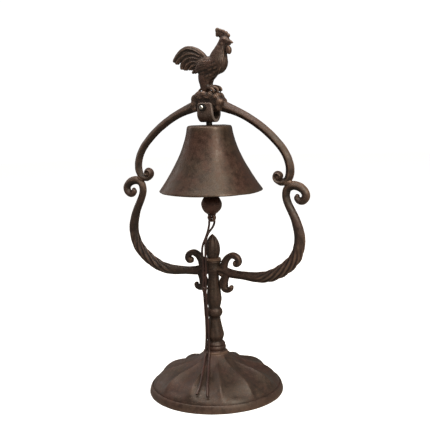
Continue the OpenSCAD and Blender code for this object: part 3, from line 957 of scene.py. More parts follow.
@dataclass
class Base:
    """Round dish with raised ribs that run from its neck to a plain rim."""

    ribs: int = 12
    rib_height: float = 1.25
    valley_depth: float = 4.3
    rib_turn_deg: float = 3.0
    rim: float = 7.5
    wall: float = 5.5
    neck: float = 12.5
    dome: float = 63.0
    dome_rise: float = 16.8
    neck_rise: float = 17.5
    neck_spread: float = 13.5
    valley_sharpness: float = 0.7
    bore: float = 2.8
    washer_radius: float = 6.0
    bolt_flats: float = 8.0
    bolt_head: float = 3.5
    bolt_radius: float = 2.5
    bolt_length: float = 39.4
    columns: int = 288

    def top(self, r: float) -> float:
        """Height of the dish's skin at a radius, midway between rib and hollow."""
        dome_share = 1 - (min(r, self.dome) / self.dome) ** 6
        neck_share = math.exp((10 - r) / self.neck_spread)
        return self.rim + 0.5 + self.dome_rise * dome_share + self.neck_rise * neck_share

    def rib(self, r: float, angle: float) -> float:
        """How far a rib stands up at a radius and an angle."""
        share = min(1.0, max(0.0, (r - self.neck) / 26))
        share *= smooth(self.dome - 0.3, self.dome - 6.5, r)
        valley = abs(math.sin(angle * self.ribs / 2)) ** self.valley_sharpness
        return share * (self.rib_height - self.valley_depth * valley)

    def build(self) -> None:
        """Spins the dish and raises its ribs."""
        rise = [self.neck + (self.dome - self.neck) * k / 44 for k in range(45)]
        seat, boss = self.top(self.neck), self.top(18.5) - self.wall
        outline = [(self.bore, seat), (self.neck - 1, seat)]
        outline += [(r, self.top(r)) for r in rise]
        outline += [
            # Fine groove, rounded rim and the foot that the dish stands on
            (63.3, 7.35), (63.7, 7.3), (64.1, 7.7), (64.7, 7.5), (65.4, 6.5), (66.1, 4.9), (66.6, 3.2),
            (66.9, 1.9), (66.95, 0.9), (66.6, 0.25), (66, 0), (62, 0), (61.5, 0.4),
        ]
        outline += [(r, self.top(r) - self.wall) for r in (60, 56, 51, 45, 38, 31, 24, 18.5)]
        outline += [(10, boss), (self.bore, boss), (self.bore, seat)]
        bm = bmesh.new()
        spun(bm, outline, self.columns)
        turn = math.radians(self.rib_turn_deg)
        for vert in bm.verts:
            r = math.hypot(vert.co.x, vert.co.y)
            if self.neck < r < self.dome and vert.co.z > self.top(r) - 1:
                vert.co.z += self.rib(r, math.atan2(vert.co.y, vert.co.x) - turn)
        roughen(bm, 0.16, 9.0, 1.3)
        for vert in bm.verts:
            vert.co.z = max(vert.co.z, 0.0)
        place_piece(bm, "base", BROWN_IRON, Body.STAND, ["base_dish"], relief_rounds=110)
        self.fasteners()

    def fasteners(self) -> None:
        """Makes the bolt and washer that hold the stem from below."""
        low, high = box_mm("stem_washer")
        washer = bmesh.new()
        spun(washer, ring_outline(2.6, self.washer_radius, low[2], high[2], 0.2), 64)
        place_piece(washer, "base_washer", BARE_STEEL, Body.STAND, ["stem_washer"], sharp_deg=30)
        foot = box_mm("stem_bolt")[0][2]
        bolt = bmesh.new()
        hexagon(bolt, self.bolt_flats, foot, foot + self.bolt_head, 0.4)
        radius, root, end = self.bolt_radius, self.bolt_head - 0.3, self.bolt_length
        shank = [(0, root), (radius, root), (radius, end - 1), (radius - 0.6, end), (0, end)]
        spun(bolt, [(r, foot + z) for r, z in shank], 48)
        place_piece(bolt, "base_bolt", BARE_STEEL, Body.STAND, ["stem_bolt"], sharp_deg=30)


def ring_outline(
    inner: float, outer: float, low: float, high: float, ease: float
) -> list[tuple[float, float]]:
    """Outline of a washer or collar with its edges eased."""
    return [
        (inner, low + ease), (inner + ease, low), (outer - ease, low), (outer, low + ease),
        (outer, high - ease), (outer - ease, high), (inner + ease, high), (inner, high - ease),
        (inner, low + ease),
    ]


def hexagon(
    bm: bmesh.types.BMesh, flats: float, low: float, high: float, ease: float, turn: Matrix | None = None
) -> None:
    """Adds a hexagon nut or bolt head with eased edges.

    Args:
        bm: The mesh that it is added to.
        flats: Distance between opposite faces.
        low: Height of its lower face.
        high: Height of its upper face.
        ease: Size of the bevel.
        turn: Where it is put, if it isn't upright on the Z axis.
    """
    radius = flats / math.sqrt(3)
    place = (turn or Matrix.Identity(4)) @ Matrix.Translation((0, 0, (low + high) / 2))
    made = bmesh.ops.create_cone(
        bm, cap_ends=True, segments=6, radius1=radius, radius2=radius, depth=high - low, matrix=place
    )["verts"]
    edges = list({e for v in made for e in v.link_edges})
    bmesh.ops.bevel(bm, geom=edges, offset=ease, segments=3, profile=0.5, affect="EDGES", material=-1)


@dataclass
class Stem:
    """Turned stem with beads, fluted vases and a lined collar, and the leaf bud on top of it."""

    flutes: int = 8
    flute_depth: float = 0.35
    collar_top: float = 135.0
    leaf_turn_deg: float = 38.0
    leaf_fold: float = 1.25
    vein_depth: float = 0.12
    outline: tuple[Point, ...] = (
        (12.2, 40.2), (10.7, 41.3), (10, 42.2), (10.5, 43.6), (10.3, 45.4), (9.5, 46.5), (9.9, 47.6),
        (9.2, 49.2), (7.6, 51.2), (8.3, 53.6), (9, 56.8), (8.4, 60.5), (7.2, 65.5), (6.2, 71), (5.8, 75),
        (7.5, 77.6), (8, 80), (7.6, 82.4), (6.1, 85), (6.8, 88.8), (7.5, 92.8), (7.2, 97), (6.7, 102),
        (6.1, 108), (5.5, 113), (5.4, 117.5), (6.4, 120.5), (7.3, 122.5),
    )
    collar: tuple[Point, ...] = (
        (7.45, 123.4), (7.5, 124), (7.15, 124.4), (7.5, 124.9), (7.45, 125.6), (7.25, 126.2), (7.2, 129.6),
        (7.5, 130.4), (8, 131), (8.05, 131.5), (7.5, 132.1), (8.1, 132.7), (8.1, 133.3), (7.5, 133.8),
        (7.8, 134.4), (7.0, 135),
    )
    bud: tuple[Point, ...] = (
        (5.2, 135), (6.0, 136.4), (6.9, 139.5), (7.3, 143), (7.0, 147.5), (5.9, 151.4), (4.1, 154.7),
        (2.2, 157), (0.9, 158.2),
    )

    def build(self) -> None:
        """Makes the stem and its bud."""
        foot = box_mm("stem_column")[0][2]
        outline = [(0, foot), (12.2, foot), *curve(self.outline, 3), *self.collar, (0, self.collar_top)]
        bm = bmesh.new()
        spun(bm, outline, 144)
        for vert in bm.verts:
            z, angle = vert.co.z, math.atan2(vert.co.y, vert.co.x)
            share = smooth(50, 54, z) * smooth(74, 68, z) + smooth(85, 90, z) * smooth(117, 110, z)
            r = math.hypot(vert.co.x, vert.co.y)
            if r > 1 and share > 0:
                cut = self.flute_depth * share * (0.5 - abs(math.cos(angle * self.flutes / 2)))
                vert.co.x *= 1 - cut / r
                vert.co.y *= 1 - cut / r
        roughen(bm, 0.14, 4.5, 5.2)
        place_piece(bm, "stem", BROWN_IRON, Body.STAND, ["stem_column"], relief_rounds=24)
        self.leaf_bud()

    def leaf_bud(self) -> None:
        """Makes the pointed bud from four folded leaves."""
        tip = box_mm("bud_finial")[1][2]
        outline = [(0, self.collar_top - 0.6), (5.0, self.collar_top - 0.6), *curve(self.bud, 5), (0, tip)]
        bm = bmesh.new()
        spun(bm, outline, 120)
        for vert in bm.verts:
            r = math.hypot(vert.co.x, vert.co.y)
            if r < 0.2:
                continue
            angle = math.atan2(vert.co.y, vert.co.x) + math.radians(self.leaf_turn_deg)
            rise = smooth(135.5, 140, vert.co.z) * smooth(158.6, 154, vert.co.z)
            petal = abs(math.sin(2 * angle)) ** 0.5
            vein = self.vein_depth * math.cos(16 * angle)
            cut = rise * (self.leaf_fold * (1 - petal) + vein)
            vert.co.x *= 1 - cut / r
            vert.co.y *= 1 - cut / r
        roughen(bm, 0.1, 3.0, 6.4)
        place_piece(bm, "bud", BROWN_IRON, Body.STAND, ["bud_finial"], relief_rounds=30, sharp_deg=60)


# ---------------------------------------------------------------- lyre frame


@dataclass
class LyreHalf:
    """One half of the lyre: arm with a rope twist, hub scroll, hub hook and half of the arch."""

    side: Side
    depth: float = 4.2
    twist_lobes: int = 8
    twist_pitch: float = 92.0
    twist_depth: float = 0.24
    twist_start: float = 36.0
    twist_end: float = 108.0
    curl_centre: tuple[float, float] = (71.7, 216.6)

    def arm_stations(self) -> list[Point]:
        """Centreline and half sizes of the arm, from the hub to the tip of its scroll."""
        d = self.depth
        return [
            (6, 124.5, 3.6, d), (12, 123.3, 4, d), (18, 121, 4.5, d), (26, 120, 4.2, d), (36, 119.6, 4.4, d),
            (48, 119.3, 5.3, d + 0.6), (59, 121, 5.9, d + 1), (69.5, 125.5, 6.2, d + 1.2),
            (79, 132, 6.4, d + 1.2), (87, 140.5, 6.2, d + 1), (91, 150, 5.8, d + 0.6), (92.2, 159, 5.5, d),
            (91, 168, 5.1, d),
            (88, 177.5, 4.5, d), (83.7, 186.4, 4.1, d), (80, 194.5, 3.9, d), (79, 201, 3.9, d),
            (81, 206.6, 4, d), (86.5, 209.2, 4.2, d), (93, 207.8, 4.2, d), (97.7, 203.6, 4.1, d),
            (98.5, 199, 4.1, d), (96, 195.6, 3.8, d), (92.4, 195.2, 3.5, d - 0.4), (90, 197.4, 3.2, d - 0.8),
            (90.2, 199.2, 2.4, d - 1.4),
        ]

    def scroll_stations(self) -> list[Point]:
        """Centreline and half sizes of the scroll beside the bud."""
        d = self.depth - 0.7
        return [
            (9.5, 120, 3.4, d), (11.2, 124, 3.8, d), (12, 128, 3.6, d), (13.8, 132.8, 3.3, d),
            (17.4, 137, 3.1, d), (22, 138.8, 3, d), (26.6, 137, 2.9, d), (28.4, 133.3, 2.8, d),
            (26.8, 130.6, 2.8, d), (25, 130.4, 2.6, d),
        ]

    def hook_stations(self) -> list[Point]:
        """Centreline and half sizes of the hook under the arm."""
        d = self.depth - 0.7
        return [
            (15.5, 120.5, 3, d), (12.6, 115, 3.9, d), (11.2, 110.4, 4.5, d), (12.4, 105.4, 3.7, d),
            (15.8, 103.7, 2.8, d - 0.2), (18.8, 105, 2.3, d - 0.3), (19.6, 107.2, 1.9, d - 0.6),
        ]

    def arch_stations(self) -> list[Point]:
        """Centreline and half sizes of the arch, from the crown down into its closed curl."""
        d = self.depth - 0.2
        x, z = self.curl_centre
        spiral = []
        for turn, reach, half in (
            (300, 5.6, 3.3), (268, 4.5, 2.7), (235, 4.0, 2.45), (200, 3.9, 2.4), (160, 3.85, 2.35),
            (120, 3.75, 2.3), (80, 3.5, 2.2), (40, 3.1, 2.0), (0, 2.5, 1.8), (-45, 1.7, 1.6),
        ):
            a = math.radians(turn)
            spiral.append((x + reach * math.cos(a), z + reach * math.sin(a), half, d + 0.2))
        return [
            (6, 283.6, 4.6, d), (16, 282.2, 5.2, d), (22, 280.4, 4.9, d), (28, 278.1, 4.4, d),
            (38, 273.6, 4.1, d), (48.5, 267.5, 4.1, d), (59, 260, 4.1, d), (68.3, 251.7, 4.1, d),
            (76, 243, 4.1, d), (81, 234.5, 4.2, d), (83.3, 226, 4.4, d), (82.9, 218.8, 4.3, d),
            (80, 213.6, 3.8, d), *spiral,
        ]

    def twist(self, along: float, angle: float) -> float:
        """Factor on the arm's section that cuts the grooves of its rope twist."""
        share = smooth(self.twist_start, self.twist_start + 18, along)
        share *= smooth(self.twist_end, self.twist_end - 26, along)
        strand = abs(math.cos(self.twist_lobes / 2 * (angle - math.tau * along / self.twist_pitch)))
        return 1 - share * self.twist_depth * (1 - strand**1.1)

    def build(self) -> None:
        """Makes the four castings of this half."""
        name = self.side.name.lower()
        parts = (
            ("arm", self.arm_stations(), 6, 1.55, self.twist, f"lyre_arm_{name}", 26),
            ("hub_curl", self.scroll_stations(), 8, 3.2, None, f"hub_scroll_{name}", 14),
            ("hub_spur", self.hook_stations(), 8, 2.6, None, f"hub_hook_{name}", 14),
            ("arch", self.arch_stations(), 6, 1.3, None, f"arch_{name}", 16),
        )
        for part, stations, steps, fullness, lobes, node, rounds in parts:
            bm = bmesh.new()
            loft(bm, bar_rings(stations, steps, fullness, 40, lobes))
            if part == "hub_curl":
                ball(bm, (25.2, 0, 131.2), (3.1, self.depth - 0.4, 3.1))
            if part == "arch":
                x, z = self.curl_centre
                ball(bm, (x, 0, z), (3.6, self.depth - 1.2, 3.6))
                ball(bm, (80.4, 0, 212), (5.6, self.depth - 0.6, 3.4))
            roughen(bm, 0.16, 6.0, 2.2 + 0.7 * len(part))
            roughen(bm, 0.07, 1.8, 3.9)
            if self.side is Side.LEFT:
                bmesh.ops.scale(bm, vec=(-1, 1, 1), verts=bm.verts)
            piece_name = f"{part}_{name}"
            place_piece(bm, piece_name, BROWN_IRON, Body.STAND, [node], rounds, sharp_deg=70)


# ---------------------------------------------------------------- crown and cockerel


@dataclass
class Crown:
    """Rocky mound at the top of the arch, with the strap's cheeks kept flat."""

    cheek: float = 6.9
    bulge: float = 8.6
    seed: int = 11

    def build(self) -> None:
        """Piles stones on a core, melts them together and pares the cheeks flat."""
        dice = random.Random(self.seed)
        bm = bmesh.new()
        ball(bm, (0, 0, 286.5), (14.8, 7.9, 10.4))
        ball(bm, (0, 0, 281.4), (15.8, 6.6, 5.0))
        stones = (
            (-12.4, 289.6, 5.0), (-13.4, 284.4, 4.4), (-8.6, 292.6, 4.6), (-2.6, 293.8, 4.2),
            (4.6, 293.4, 4.2), (10.6, 291.4, 4.6), (13.6, 286.6, 4.2), (12.8, 281.8, 4.0),
            (-12.6, 280.8, 3.6), (-5.4, 290.4, 5.2), (1.2, 290.8, 5.2), (8.6, 287.4, 5.4),
        )
        for x, z, size in stones:
            for y in (-3.0, 3.0):
                lump = [size * dice.uniform(0.9, 1.08) for _ in range(2)]
                ball(bm, (x, y + dice.uniform(-0.4, 0.4), z), (lump[0], 4.4, lump[1]), dice.uniform(-30, 30))
        bm = fused(bm, "crown_work", 0.6, 12)
        for vert in bm.verts:
            x, z = vert.co.x, vert.co.z
            reach = math.hypot(x + 3.5, (z - 283) * 1.05)
            vert.co.y += math.copysign(0.38 * math.cos(reach * 1.9) * smooth(7, 9, reach), vert.co.y)
        roughen(bm, 0.4, 5.0, 8.8)
        roughen(bm, 0.14, 2.0, 9.7)
        for vert in bm.verts:
            strap = smooth(291.5, 289.5, vert.co.z) * smooth(12.5, 10.8, abs(vert.co.x))
            limit = self.bulge + (self.cheek - self.bulge) * strap
            vert.co.y = max(-limit, min(limit, vert.co.y))
            vert.co.z = max(276.4, min(299.0, vert.co.z))
        place_piece(bm, "crown", BROWN_IRON, Body.STAND, ["rock_crown"], relief_rounds=30, sharp_deg=60)


@dataclass
class Cockerel:
    """Cast cockerel: body, hackles, wings, sickle feathers, comb, wattle and gripping toes."""

    voxel: float = 0.42

    def build(self) -> None:
        """Shapes the bird from overlapping parts and melts them into one casting."""
        bm = bmesh.new()
        self.body(bm)
        self.head(bm)
        self.legs(bm)
        self.tail(bm)
        tree = BVHTree.FromBMesh(bm)
        self.plumage(bm, tree)
        bm = fused(bm, "cockerel_work", self.voxel, 1)
        roughen(bm, 0.14, 2.6, 4.4)
        place_piece(bm, "cockerel_casting", BROWN_IRON, Body.STAND, ["cockerel"], 20, sharp_deg=80)

    def chain(
        self, bm: bmesh.types.BMesh, stations: Sequence[Point], steps: int = 4, sides: int = 20
    ) -> None:
        """Adds a round-ended limb through stations of x, z, half width, half depth and y."""
        loft(bm, bar_rings(stations, steps, 2.0, sides))

    def body(self, bm: bmesh.types.BMesh) -> None:
        """Breast, belly, rump, back and neck."""
        ball(bm, (12.4, 0, 322.8), (8.8, 7.4, 10.4), -20, 32)
        ball(bm, (5.4, 0, 318.6), (12.4, 7.4, 8.4), 32, 32)
        ball(bm, (-3.5, 0, 321.6), (9.5, 5.8, 7.6), -8, 32)
        ball(bm, (1.0, 0, 325.6), (8.5, 4.8, 4.0), 0, 32)
        neck = [
            (10.2, 321, 9.6, 7.3), (11.4, 326.5, 8.8, 6.9), (13, 331.5, 7.3, 5.8), (14.7, 336, 5.7, 4.7),
            (16.6, 340, 4.9, 4.1), (18.2, 343, 4.9, 3.9),
        ]
        self.chain(bm, neck, 4, 32)
        for side in (-1, 1):
            ball(bm, (1.8, side * 5.4, 320.4), (13.2, 3.0, 6.2), 18, 32)

    def head(self, bm: bmesh.types.BMesh) -> None:
        """Head, beak, comb, wattles, ear lobes and eyes."""
        ball(bm, (19, 0, 343.2), (5.5, 3.9, 4.2), -8)
        self.chain(bm, [(21.5, 342.4, 2.6, 2.3), (24.8, 341.6, 1.8, 1.5), (27.2, 340.9, 0.9, 0.8)])
        self.chain(bm, [(21.5, 340.2, 1.6, 1.8), (24.4, 339.7, 1.2, 1.1)])
        comb = (
            (11.6, 353.0, 2.5), (14.6, 352.2, 2.2), (17.6, 351.2, 2.3), (20.4, 349.7, 2.2),
            (22.8, 347.6, 2.2), (12.6, 350, 3.1), (15.8, 348.6, 3.6), (19.4, 346.9, 3.4), (11.3, 348.6, 1.8),
        )
        for x, z, size in comb:
            ball(bm, (x, 0, z), (size, 1.5, size))
        for side in (-1, 1):
            ball(bm, (23, side * 1.2, 334.4), (2.6, 1.6, 4.0), 6)
            ball(bm, (17.4, side * 3.3, 340), (1.6, 1.2, 2.0))
            ball(bm, (20.2, side * 3.3, 344.4), (1.5, 0.9, 1.5))
            ball(bm, (20.2, side * 3.8, 344.4), (0.7, 0.8, 0.7))
        ball(bm, (21.2, 0, 337.6), (2.4, 1.9, 3.0))

    def legs(self, bm: bmesh.types.BMesh) -> None:
        """Feathered thighs, short shanks and toes that grip the rock."""
        for side in (-1, 1):
            y = side * 4.0
            thigh = [
                (0.6, 315, 9.0, 4.2, y * 0.7), (-1.4, 310.4, 7.2, 3.8, y * 0.9), (-2.0, 306.4, 5.8, 3.3, y),
                (-1.9, 303, 4.8, 2.8, y), (-1.6, 299.6, 4.4, 2.5, y),
            ]
            self.chain(bm, thigh)
            for spread, reach, drop in ((-2.4, 10.2, 0.9), (0.2, 12.4, 0.0), (2.6, 9.6, 1.2)):
                toe = [
                    (0, 301, 2.0, 1.8, y),
                    (reach * 0.42, 301.2 - drop, 1.7, 1.4, y + side * spread * 0.5),
                    (reach * 0.76, 300.4 - drop, 1.55, 1.3, y + side * spread * 0.85),
                    (reach - 0.6, 298.9 - drop, 1.25, 1.0, y + side * spread),
                    (reach, 297 - drop, 0.7, 0.6, y + side * spread),
                ]
                self.chain(bm, toe, 3, 12)
            spur = [(-2.5, 299.6, 1.5, 1.3, y), (-6.4, 298.4, 1.2, 1.1, y), (-9.0, 296.4, 0.7, 0.6, y)]
            self.chain(bm, spur, 3, 12)

    def tail(self, bm: bmesh.types.BMesh) -> None:
        """Sickle feathers that arch up from the rump and hook down at their blunt tips."""
        ball(bm, (-14, 0, 327), (13, 3.5, 7.6), 4)
        ball(bm, (-20, 0, 331), (12.6, 3.0, 6.6), -16)
        sickles = (
            (
                (-0.5, 326), (-6.2, 331.6), (-11.6, 335), (-19.4, 337.3), (-26.6, 335.6), (-32, 331.4),
                (-36.2, 326.4),
            ),
            ((-1, 324.4), (-7.6, 329.6), (-14.8, 332.2), (-22.6, 331.6), (-29, 328.4), (-33.6, 324.4)),
            ((-2, 322.6), (-9, 327.2), (-16, 328.6), (-22.8, 326.8), (-27, 322.6), (-27.8, 319.2)),
            ((-3, 320.8), (-9.8, 324.4), (-16, 324.8), (-21.4, 322), (-24, 318.2)),
            ((-4, 318.8), (-10, 321.4), (-15, 320.8), (-18.8, 318.2)),
            ((-5, 316.6), (-9.6, 317.8), (-13, 316.4), (-14.8, 314.8)),
        )
        for k, line in enumerate(sickles):
            for side in (-1, 1):
                last = len(line) - 1
                full = 2.9 - 0.14 * k
                y = side * (1.1 + 0.2 * k)
                swell = [math.sin(math.pi * (0.3 + 0.48 * i / last)) for i in range(last + 1)]
                stations = [(x, z, full * s, 1.5 * s + 0.35, y) for (x, z), s in zip(line, swell)]
                self.chain(bm, stations, 5, 16)
                outer = zip(line[1:], swell[1:])
                vein = [(x, z, 0.42, 0.6, y + side * (1.5 * s + 0.3)) for (x, z), s in outer]
                self.chain(bm, vein, 5, 8)

    def plumage(self, bm: bmesh.types.BMesh, tree: BVHTree) -> None:
        """Lays hackles, wing feathers and saddle feathers on the bird's skin."""
        for side in (-1, 1):
            for k in range(9):
                t = k / 8
                start = (12.2 + 5.4 * t, 338.4 + 0.6 * t)
                end = (2.6 + 15.6 * t, 325.4 - 4.6 * math.sin(math.pi * (0.15 + 0.55 * t)))
                bow = (0.5 * (start[0] + end[0]) - 0.8 + 1.6 * t, 0.5 * (start[1] + end[1]))
                self.feather(bm, tree, side, (start, bow, end), 1.05)
            for k in range(6):
                t = k / 5
                start = (8.4 - 3.2 * t, 324.2 - 8.6 * t)
                end = (-13.6 + 6.6 * t, 319.6 - 7.0 * t)
                bow = (-3.0 + 1.6 * t, 323.6 - 9.4 * t)
                self.feather(bm, tree, side, (start, bow, end), 1.25)
            for row, count in ((0, 4), (1, 3)):
                for k in range(count):
                    start = (13.2 - 4.4 * row, 325.6 - 3.1 * k - 1.2 * row)
                    end = (7.6 - 4.4 * row, 323.6 - 3.1 * k - 1.2 * row)
                    middle = (0.5 * (start[0] + end[0]), 0.5 * (start[1] + end[1]) + 0.3)
                    self.feather(bm, tree, side, (start, middle, end), 1.7)
            for k in range(4):
                start = (-1.5 - 1.6 * k, 327.2 - 0.6 * k)
                end = (-8.6 - 1.7 * k, 317.4 + 0.9 * k)
                middle = (-6.4 - 1.7 * k, 323.6)
                self.feather(bm, tree, side, (start, middle, end), 0.95)
            for k in range(5):
                start = (6.5 + 2.6 * k, 313.4 + 1.4 * k)
                end = (0.5 + 2.7 * k, 309.8 + 0.7 * k)
                middle = (3.4 + 2.7 * k, 311.2 + 1.1 * k)
                self.feather(bm, tree, side, (start, middle, end), 1.2)

    def feather(
        self, bm: bmesh.types.BMesh, tree: BVHTree, side: int, line: Sequence[Point], half: float
    ) -> None:
        """Lays one feather as a ridge along the skin, if the skin is there.

        Args:
            bm: The bird.
            tree: Its skin, for finding where the feather lies.
            side: -1 for the front and 1 for the back.
            line: Points of x and z.
            half: Half width at its widest.
        """
        stations = []
        path = curve(line, 4)
        for i, (x, z) in enumerate(path):
            hit = tree.ray_cast(Vector((x, side * 30, z)), Vector((0, -side, 0)))[0]
            if hit is None:
                return
            share = math.sin(math.pi * (0.12 + 0.8 * i / (len(path) - 1)))
            stations.append((x, z, half * share, 0.75 * share, hit.y - side * 0.1))
        loft(bm, bar_rings(stations, 1, 2.0, 12))


# ---------------------------------------------------------------- pivot and strap


def flat_side_up(height: float) -> Matrix:
    """Placement at a height that points a hexagon's axis to the front, -Y, with a flat on top."""
    lying = Matrix.Translation((0, 0, height)) @ Matrix.Rotation(math.radians(90), 4, "X")
    return lying @ Matrix.Rotation(math.radians(30), 4, "Z")


@dataclass
class Pivot:
    """Cross bolt with its nut, and the bent strap that swings on them."""

    strap_half_depth: float = 10.35
    strap_thick: float = 3.0
    strap_half_width: float = 8.5
    strap_top_half_width: float = 7.3
    strap_corner: float = 1.8
    nut_flats: float = 7.0
    thread_pitch: float = 0.7
    thread_radius: float = 1.98
    thread_root: float = 1.66

    def build(self) -> None:
        """Makes the bolt, the nut and the strap."""
        centre = Vector(next(j for j in frame["joints"] if j["name"] == "bell_swing")["pos_m"]) / MM
        self.bolt(centre.z)
        self.nut(centre.z)
        self.strap()

    def bolt(self, height: float) -> None:
        """Makes the bolt: hex head behind, plain shank, threaded end in front."""
        low, high = box_mm("pivot_bolt")
        front, back = -low[1], high[1]
        turn = flat_side_up(height)
        bm = bmesh.new()
        hexagon(bm, self.nut_flats, -back, -back + 2.8, 0.35, turn)
        start, thick, thin = front - 6.5, self.thread_radius, self.thread_root
        outline = [(0, -back + 0.4), (thick, -back + 0.4), (thick, start)]
        turns = int((front - 0.7 - start) / self.thread_pitch)
        for k in range(turns):
            at = start + k * self.thread_pitch
            outline += [(thick, at + 0.12), (thin, at + 0.36), (thick, at + 0.6)]
        outline += [(1.9, front - 0.5), (1.5, front - 0.06), (0, front)]
        spun(bm, outline, 40, axis=(0, -1, 0), at=(0, 0, height))
        place_piece(bm, "cross_bolt", BARE_STEEL, Body.STAND, ["pivot_bolt"], sharp_deg=30)

    def nut(self, height: float) -> None:
        """Makes the blackened hex nut on the front."""
        low, high = box_mm("pivot_nut")
        bm = bmesh.new()
        turn = flat_side_up(height)
        hexagon(bm, self.nut_flats, -high[1], -low[1], 0.45, turn)
        place_piece(bm, "cross_nut", DARK_STEEL, Body.STAND, ["pivot_nut"], sharp_deg=30)

    def strap(self) -> None:
        """Bends a flat plate to a U and thickens it inwards and outwards."""
        low, high = box_mm("clevis")
        bottom, top = low[2], high[2]
        middle_r = self.strap_half_depth - self.strap_thick / 2
        bend_z = bottom + self.strap_half_depth
        quarter = middle_r * math.pi / 2
        reach = quarter + top - bend_z
        bm = bmesh.new()
        bmesh.ops.create_grid(bm, x_segments=18, y_segments=64, size=1.0)
        for vert in bm.verts:
            u, s = vert.co.x, vert.co.y * reach
            rise = max(0.0, abs(s) - quarter)
            taper = self.strap_top_half_width - self.strap_half_width
            half = self.strap_half_width + taper * smooth(-3, reach - quarter, rise)
            end, corner = reach - abs(s), self.strap_corner
            if end < corner:
                half -= corner - math.sqrt(max(0.0, corner**2 - (corner - end) ** 2))
            angle = max(-math.pi / 2, min(math.pi / 2, s / middle_r))
            vert.co = (u * half, middle_r * math.sin(angle), bend_z - middle_r * math.cos(angle) + rise)
        bmesh.ops.recalc_face_normals(bm, faces=bm.faces)
        bmesh.ops.solidify(bm, geom=list(bm.faces), thickness=self.strap_thick)
        bmesh.ops.recalc_face_normals(bm, faces=bm.faces)
        bm.normal_update()
        rims = [e for e in bm.edges if len(e.link_faces) == 2 and e.calc_face_angle(0) > math.radians(60)]
        bmesh.ops.bevel(bm, geom=rims, offset=0.45, segments=2, profile=0.5, affect="EDGES", material=-1)
        middle_y = sum(v.co.y for v in bm.verts) / len(bm.verts)
        lowest = min(v.co.z for v in bm.verts)
        bmesh.ops.translate(bm, vec=(0, -middle_y, bottom - lowest), verts=bm.verts)
        roughen(bm, 0.1, 4.0, 7.1)
        place_piece(bm, "strap", STRAP_IRON, Body.BELL, ["clevis"], relief_rounds=10, sharp_deg=50)


# ---------------------------------------------------------------- bell and clapper


@dataclass
class Bell:
    """Flared cast bell with its hanger bolt, nut, collar and washer."""

    top_radius: float = 21.8
    lip_radius: float = 50.2
    flare: float = 1.6
    wall: float = 3.5
    height: float = 62.0
    hole_radius: float = 2.0

    def build(self) -> None:
        """Makes the shell and what holds it."""
        top = box_mm("bell_shell")[1][2]
        lip, rim, steps = top - self.height, self.lip_radius, 44

        def radius(t: float) -> float:
            """Outer radius at a share of the height, from the top down."""
            return self.top_radius + (self.lip_radius - self.top_radius) * t**self.flare

        levels = [(radius(k / steps), top - self.height * k / steps) for k in range(2, steps + 1)]
        under, hole = top - self.wall, self.hole_radius
        outline = [
            (hole, top), (8, top), (14, top - 0.02), (19.2, top - 0.05), (20.6, top - 0.2),
            (21.4, top - 0.7), (21.75, top - 1.5), *levels,
            (rim + 0.05, lip - 0.35), (rim - 0.4, lip - 0.85), (rim - 1.1, lip - 1.12),
            (rim - 1.9, lip - 1.18), (rim - 2.8, lip - 1.0), (rim - 3.5, lip - 0.5),
        ]
        outline += [(r - self.wall - 0.4, z) for r, z in reversed(levels[1:]) if z < under - 2.5]
        outline += [(17.6, under - 1.2), (16.6, under - 0.4), (15, under), (8, under)]
        outline += [(hole, under), (hole, top)]
        bm = bmesh.new()
        spun(bm, outline, 192)
        roughen(bm, 0.3, 15.0, 12.1)
        roughen(bm, 0.1, 4.0, 13.5)
        place_piece(bm, "bell_casting", BELL_IRON, Body.BELL, ["bell_shell"], relief_rounds=40, sharp_deg=50)
        self.hanger()

    def hanger(self) -> None:
        """Makes the collar, the washer, the nut and the eyebolt that carry the bell."""
        for node, name, inner, outer in (
            ("hanger_spacer", "bell_collar", 1.95, 3.0),
            ("hanger_washer", "bell_washer", 1.95, 5.5),
        ):
            low, high = box_mm(node)
            bm = bmesh.new()
            spun(bm, ring_outline(inner, outer, low[2], high[2], 0.15), 48)
            place_piece(bm, name, DARK_STEEL, Body.BELL, [node], sharp_deg=30)
        low, high = box_mm("hanger_nut")
        bm = bmesh.new()
        hexagon(bm, 6.4, low[2], high[2], 0.35)
        place_piece(bm, "bell_nut", DARK_STEEL, Body.BELL, ["hanger_nut"], sharp_deg=30)
        low, high = box_mm("hanger_eyebolt")
        wire, ring = 1.4, 5.0
        eye = low[2] + wire + ring
        washer_z = box_mm("hanger_washer")[0][2]
        bm = bmesh.new()
        neck = eye + ring
        outline = [
            (0, neck - 0.9), (1.5, neck - 0.8), (2.3, neck), (3.3, neck + 0.6), (3.4, neck + 1.0),
            (3.4, washer_z),
            (1.9, washer_z), (1.9, high[2] - 0.5), (1.5, high[2] - 0.05), (0, high[2]),
        ]
        spun(bm, outline, 40)
        wire_ring(bm, (0, 0, eye), (0, 1, 0), ring, wire)
        place_piece(bm, "bell_eyebolt", DARK_STEEL, Body.BELL, ["hanger_eyebolt"], sharp_deg=40)


def wire_ring(bm: bmesh.types.BMesh, centre: Point, axis: Point, radius: float, wire: float) -> None:
    """Adds a closed ring of round wire by spinning a circle.

    Args:
        bm: The mesh that it is added to.
        centre: The ring's centre.
        axis: Direction through the ring.
        radius: Radius at the middle of the wire.
        wire: Radius of the wire.
    """
    turn = Vector((0, 0, 1)).rotation_difference(Vector(axis)).to_matrix().to_4x4()
    place = Matrix.Translation(Vector(centre)) @ turn
    start = place @ Matrix.Translation((radius, 0, 0)) @ Matrix.Rotation(math.radians(90), 4, "X")
    circle = bmesh.ops.create_circle(bm, cap_ends=False, segments=20, radius=wire, matrix=start)["verts"]
    edges = list({e for v in circle for e in v.link_edges})
    full_turn(bm, circle + edges, centre, axis, 64)


